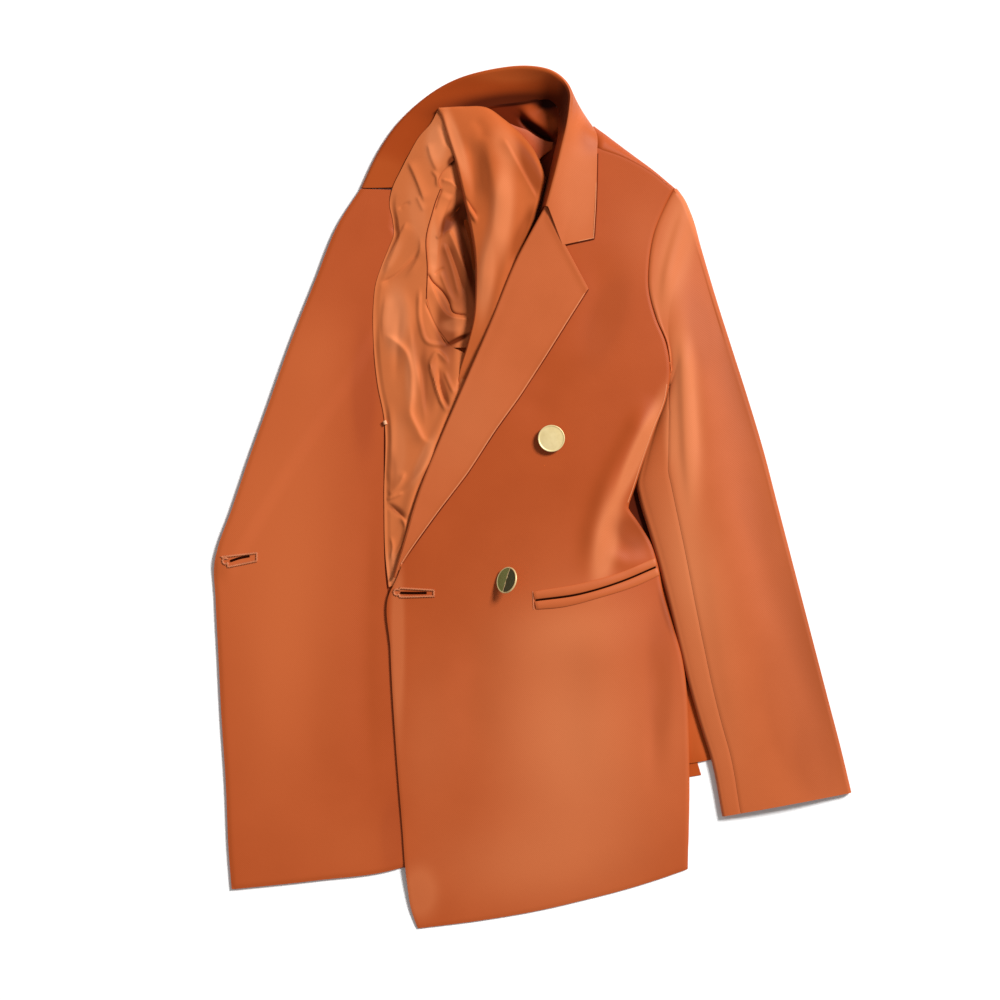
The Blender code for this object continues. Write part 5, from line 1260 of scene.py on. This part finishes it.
def makeButtons():
    for name, x, y, lift, tilt, heading, shank in button["places"]:
        profile = [(button["radius"] * share, z) for share, z in button["face"]]
        profile += [(2.6, 0), (1.9, -shank * 0.6), (1.5, -shank), (0, -shank)]
        piece = turned(name + "_metal", profile, goldFace, button["sides"])
        turn, angle = math.radians(heading), math.radians(tilt)
        axis = np.array([-math.sin(turn), math.cos(turn), 0])
        # a tilted button's face is painted with a green reflection in two halves
        if tilt:
            piece.data.materials.append(paintedReflection)
            piece.data.materials.append(paintedReflectionDark)
            for side in piece.data.polygons:
                x0, y0, z0 = side.center * 1000
                across = axis[0] * y0 - axis[1] * x0
                if math.hypot(x0, y0) < button["dish"] and z0 > 1.5 and abs(across) > button["brightLine"]:
                    side.material_index = 1 if across < 0 else 2
        z = float(frontHeight(np.array([x, y], float))) + lay["cloth"] / 2 + lift
        centre = toWorld([x, y, z])
        c, s = math.cos(angle), math.sin(angle)
        points = np.array([v.co for v in piece.data.vertices])
        spun = points * c + np.cross(axis, points) * s + np.outer(points @ axis, axis) * (1 - c)
        for vertex, place in zip(piece.data.vertices, spun + centre):
            vertex.co = place
        dress(piece, "gold", name)


makeButtons()
print("buttons sewn on")


# Sewing: buttonholes, tack and seams, with dark lines of painted shade in slits and under edges, and light lines of
# painted highlight along turned edges
buttonholes = {
    "left_front": {"eye": (-136, -95), "bars": [((-133, -91), (-99, -93)), ((-133, -100), (-99, -99))],
                   "slit": [(-132, -95.5), (-121, -95.7), (-106, -95.5)]},
    "right_front": {"eye": (-307, -64), "bars": [((-311, -60), (-276, -56)), ((-305, -70), (-276, -64))],
                    "slit": [(-302, -64), (-293, -61), (-283, -59)]},
}
stitch = {"radius": 0.9, "pitch": 0.8, "reach": 1.1, "above": 0.25, "eye": 3, "eyeOpening": 0.7, "overlap": 0.1,
          "slit": 1.15, "slitAbove": 0.15}


def sew(name, path, height, radius, finish):
    line = setAll(bpy.data.curves.new(name, "CURVE"), dimensions="3D", bevel_depth=radius * 0.001,
                  bevel_resolution=2, use_fill_caps=True)
    spline = line.splines.new("POLY")
    spline.points.add(len(path) - 1)
    for place, point in zip(spline.points, toWorld(withHeight(path, height))):
        place.co = (*point, 1)
    line.materials.append(finish)
    dress(addObject(name, line), "suiting")


def surfaceHeight(side, plan):
    if side == "left_front":
        return frontHeight(plan) + lay["cloth"] / 2
    lift = (lay["cloth"] + lay["seam"]) * lapelCover(plan)
    return rightFront["facingZ"] + lift + lay["cloth"] / 2


def makeButtonholes():
    for side, look in buttonholes.items():
        eye = np.array(look["eye"], float)
        (a0, a1), (b0, b1) = [[np.array(p, float) for p in bar] for bar in look["bars"]]
        heading = math.atan2(*(a1 - a0)[::-1])
        ring = np.linspace(heading + stitch["eyeOpening"], heading + 2 * math.pi - stitch["eyeOpening"], 14)
        circle = eye + stitch["eye"] * np.stack([np.cos(ring), np.sin(ring)], 1)
        outline = np.concatenate([[a1], [a0], circle, [b0], [b1], [a1 + (a1 - b1) * stitch["overlap"]]])
        steps = np.linalg.norm(np.diff(outline, axis=0), axis=1)
        at = np.concatenate([[0], np.cumsum(steps)])
        wanted = np.arange(0, at[-1], stitch["pitch"])
        path = np.stack([np.interp(wanted, at, line) for line in outline.T], 1)
        sides = stitch["reach"] * (np.arange(len(path)) % 2 - 0.5)
        zigzag = path + leftOf(unit(np.gradient(path, axis=0))) * sides[:, None]
        height = surfaceHeight(side, zigzag) + stitch["above"]
        sew(side + "_buttonhole", zigzag, height, stitch["radius"], threadLight)
        # the slit is a near-black curve: painted shadow
        slit = linePoints(look["slit"], np.linspace(0, 1, 12))
        height = surfaceHeight(side, slit) + stitch["slitAbove"]
        sew(side + "_buttonhole_slit_painted_shadow", slit, height, stitch["slit"], paintedShadowThread)


def along(line, count=60, cut=0, shift=0):  # a smooth path, cut short at its ends and shifted sideways
    return linePoints(line, np.linspace(cut, 1 - cut, count)) + (shift, 0)


def beside(line, offset):  # a path to the left of each straight run
    path = []
    for start, end in zip(line, line[1:]):
        run = np.array(end, float) - start
        path += [start + leftOf(unit(run)) * offset + run * t for t in np.linspace(0, 1, 12)[:-1]]
    return np.array(path)


def sewLines():
    frontEdge = [(133, 112), (131, 99), (119, 67), (108, 35), (99, 7), (94.6, -5.5)]
    lapelEdge = [(28.6, 248.6)] + leftLapel["edge"]
    collarEdge = [(63.2, 340), (62.8, 317), (62, 289), (60, 256), (28.6, 249.2)]
    tack, armhole = along([(-148.4, 76), (-147.6, 74), (-147.2, 72.4)], 8), along(bodyLining["right"][6:12], shift=-0.2)
    sew("facing_tack", tack, np.full(len(tack), 6), 1.9, threadTack)
    # the dark lines beside the lapel and collar edges are painted shade and the light turned-edge lines painted
    # highlight; the armhole seam is a real seam drawn with painted shade
    for name, path, above, radius, finish in [
        ("pocket_slit_painted_shadow", along(pocket["middle"], cut=0.01), 1.1, 0.85, paintedShadowThread),
        ("armhole_seam", armhole, 0.5, 0.4, paintedShadeThread),
        ("pocket_end_stitch", along([(-0.5, -94), (0.6, -112)], 12), 1, 0.5, threadLight),
        ("lapel_edge_painted_shade", beside(lapelEdge, 0.6), 1.35, 0.6, paintedShadeThread),
        ("lapel_edge_painted_highlight", beside(lapelEdge, -0.5), 3.4, 0.4, paintedHighlightEdge),
        ("collar_edge_painted_shade", beside(collarEdge, 0.6), 1.35, 0.6, paintedShadeThread),
        ("collar_edge_painted_highlight", beside(collarEdge, -0.5), 3.15, 0.4, paintedHighlightEdge),
        ("front_edge_painted_highlight", along(frontEdge, shift=-0.5), 0.45, 0.45, paintedHighlightEdge),
    ]:
        under = liningHeight(bodyLining, path) if path is armhole else frontHeight(path)
        sew(name, path, under + above, radius, finish)


makeButtonholes()
sewLines()
print("buttonholes worked")


# Floor, light and camera
studio = {
    "floor": (0.96, 0.96, 0.957), "world": 0.32,
    "key": {"place": (4.6, 3.7, 5.6), "size": 2.2, "power": 920},
    "camera": (-0.0315, -0.0028, 3.2), "lens": 120,
}


def floorMaterial():
    made, tree, shader, where = startMaterial("paper_floor")
    speckle = addNode(tree, "TexNoise", "Fac", {"Vector": where, "Scale": 60})
    pale = studio["floor"]
    feed(tree, shader, {
        "Base Color": addRamp(tree, speckle, ([c * 0.995 for c in pale], pale)),
        "Roughness": 0.9, "Specular IOR Level": 0.1,
    })
    return made


def addKeyLight(place, size, power):
    holder = addObject("key", setAll(bpy.data.lights.new("key", "AREA"), shape="DISK", size=size, energy=power))
    aim = -unit(np.array(place, float))
    turn = (math.acos(-aim[2]), 0, math.atan2(aim[1], aim[0]) - math.pi / 2)
    setAll(holder, location=place, rotation_mode="XYZ", rotation_euler=turn)


def makeStudio():
    corners = np.array([(-6, -6, 0), (6, -6, 0), (6, 6, 0), (-6, 6, 0)], float)
    floor = makeMesh("floor", corners, [(0, 1, 2, 3)], floorMaterial(), smooth=False)
    addKeyLight(**studio["key"])
    world = bpy.data.worlds.new("studio")
    world.use_nodes = True
    sky = world.node_tree.nodes["Background"]
    sky.inputs["Color"].default_value = (1, 1, 1, 1)
    sky.inputs["Strength"].default_value = studio["world"]
    bpy.context.scene.world = world
    bpy.context.scene.view_settings.view_transform = "Standard"
    lens = setAll(bpy.data.cameras.new("camera"), lens=studio["lens"], sensor_width=36, clip_end=50)
    bpy.context.scene.camera = setAll(addObject("camera", lens), location=studio["camera"])


makeStudio()
print("studio lit")
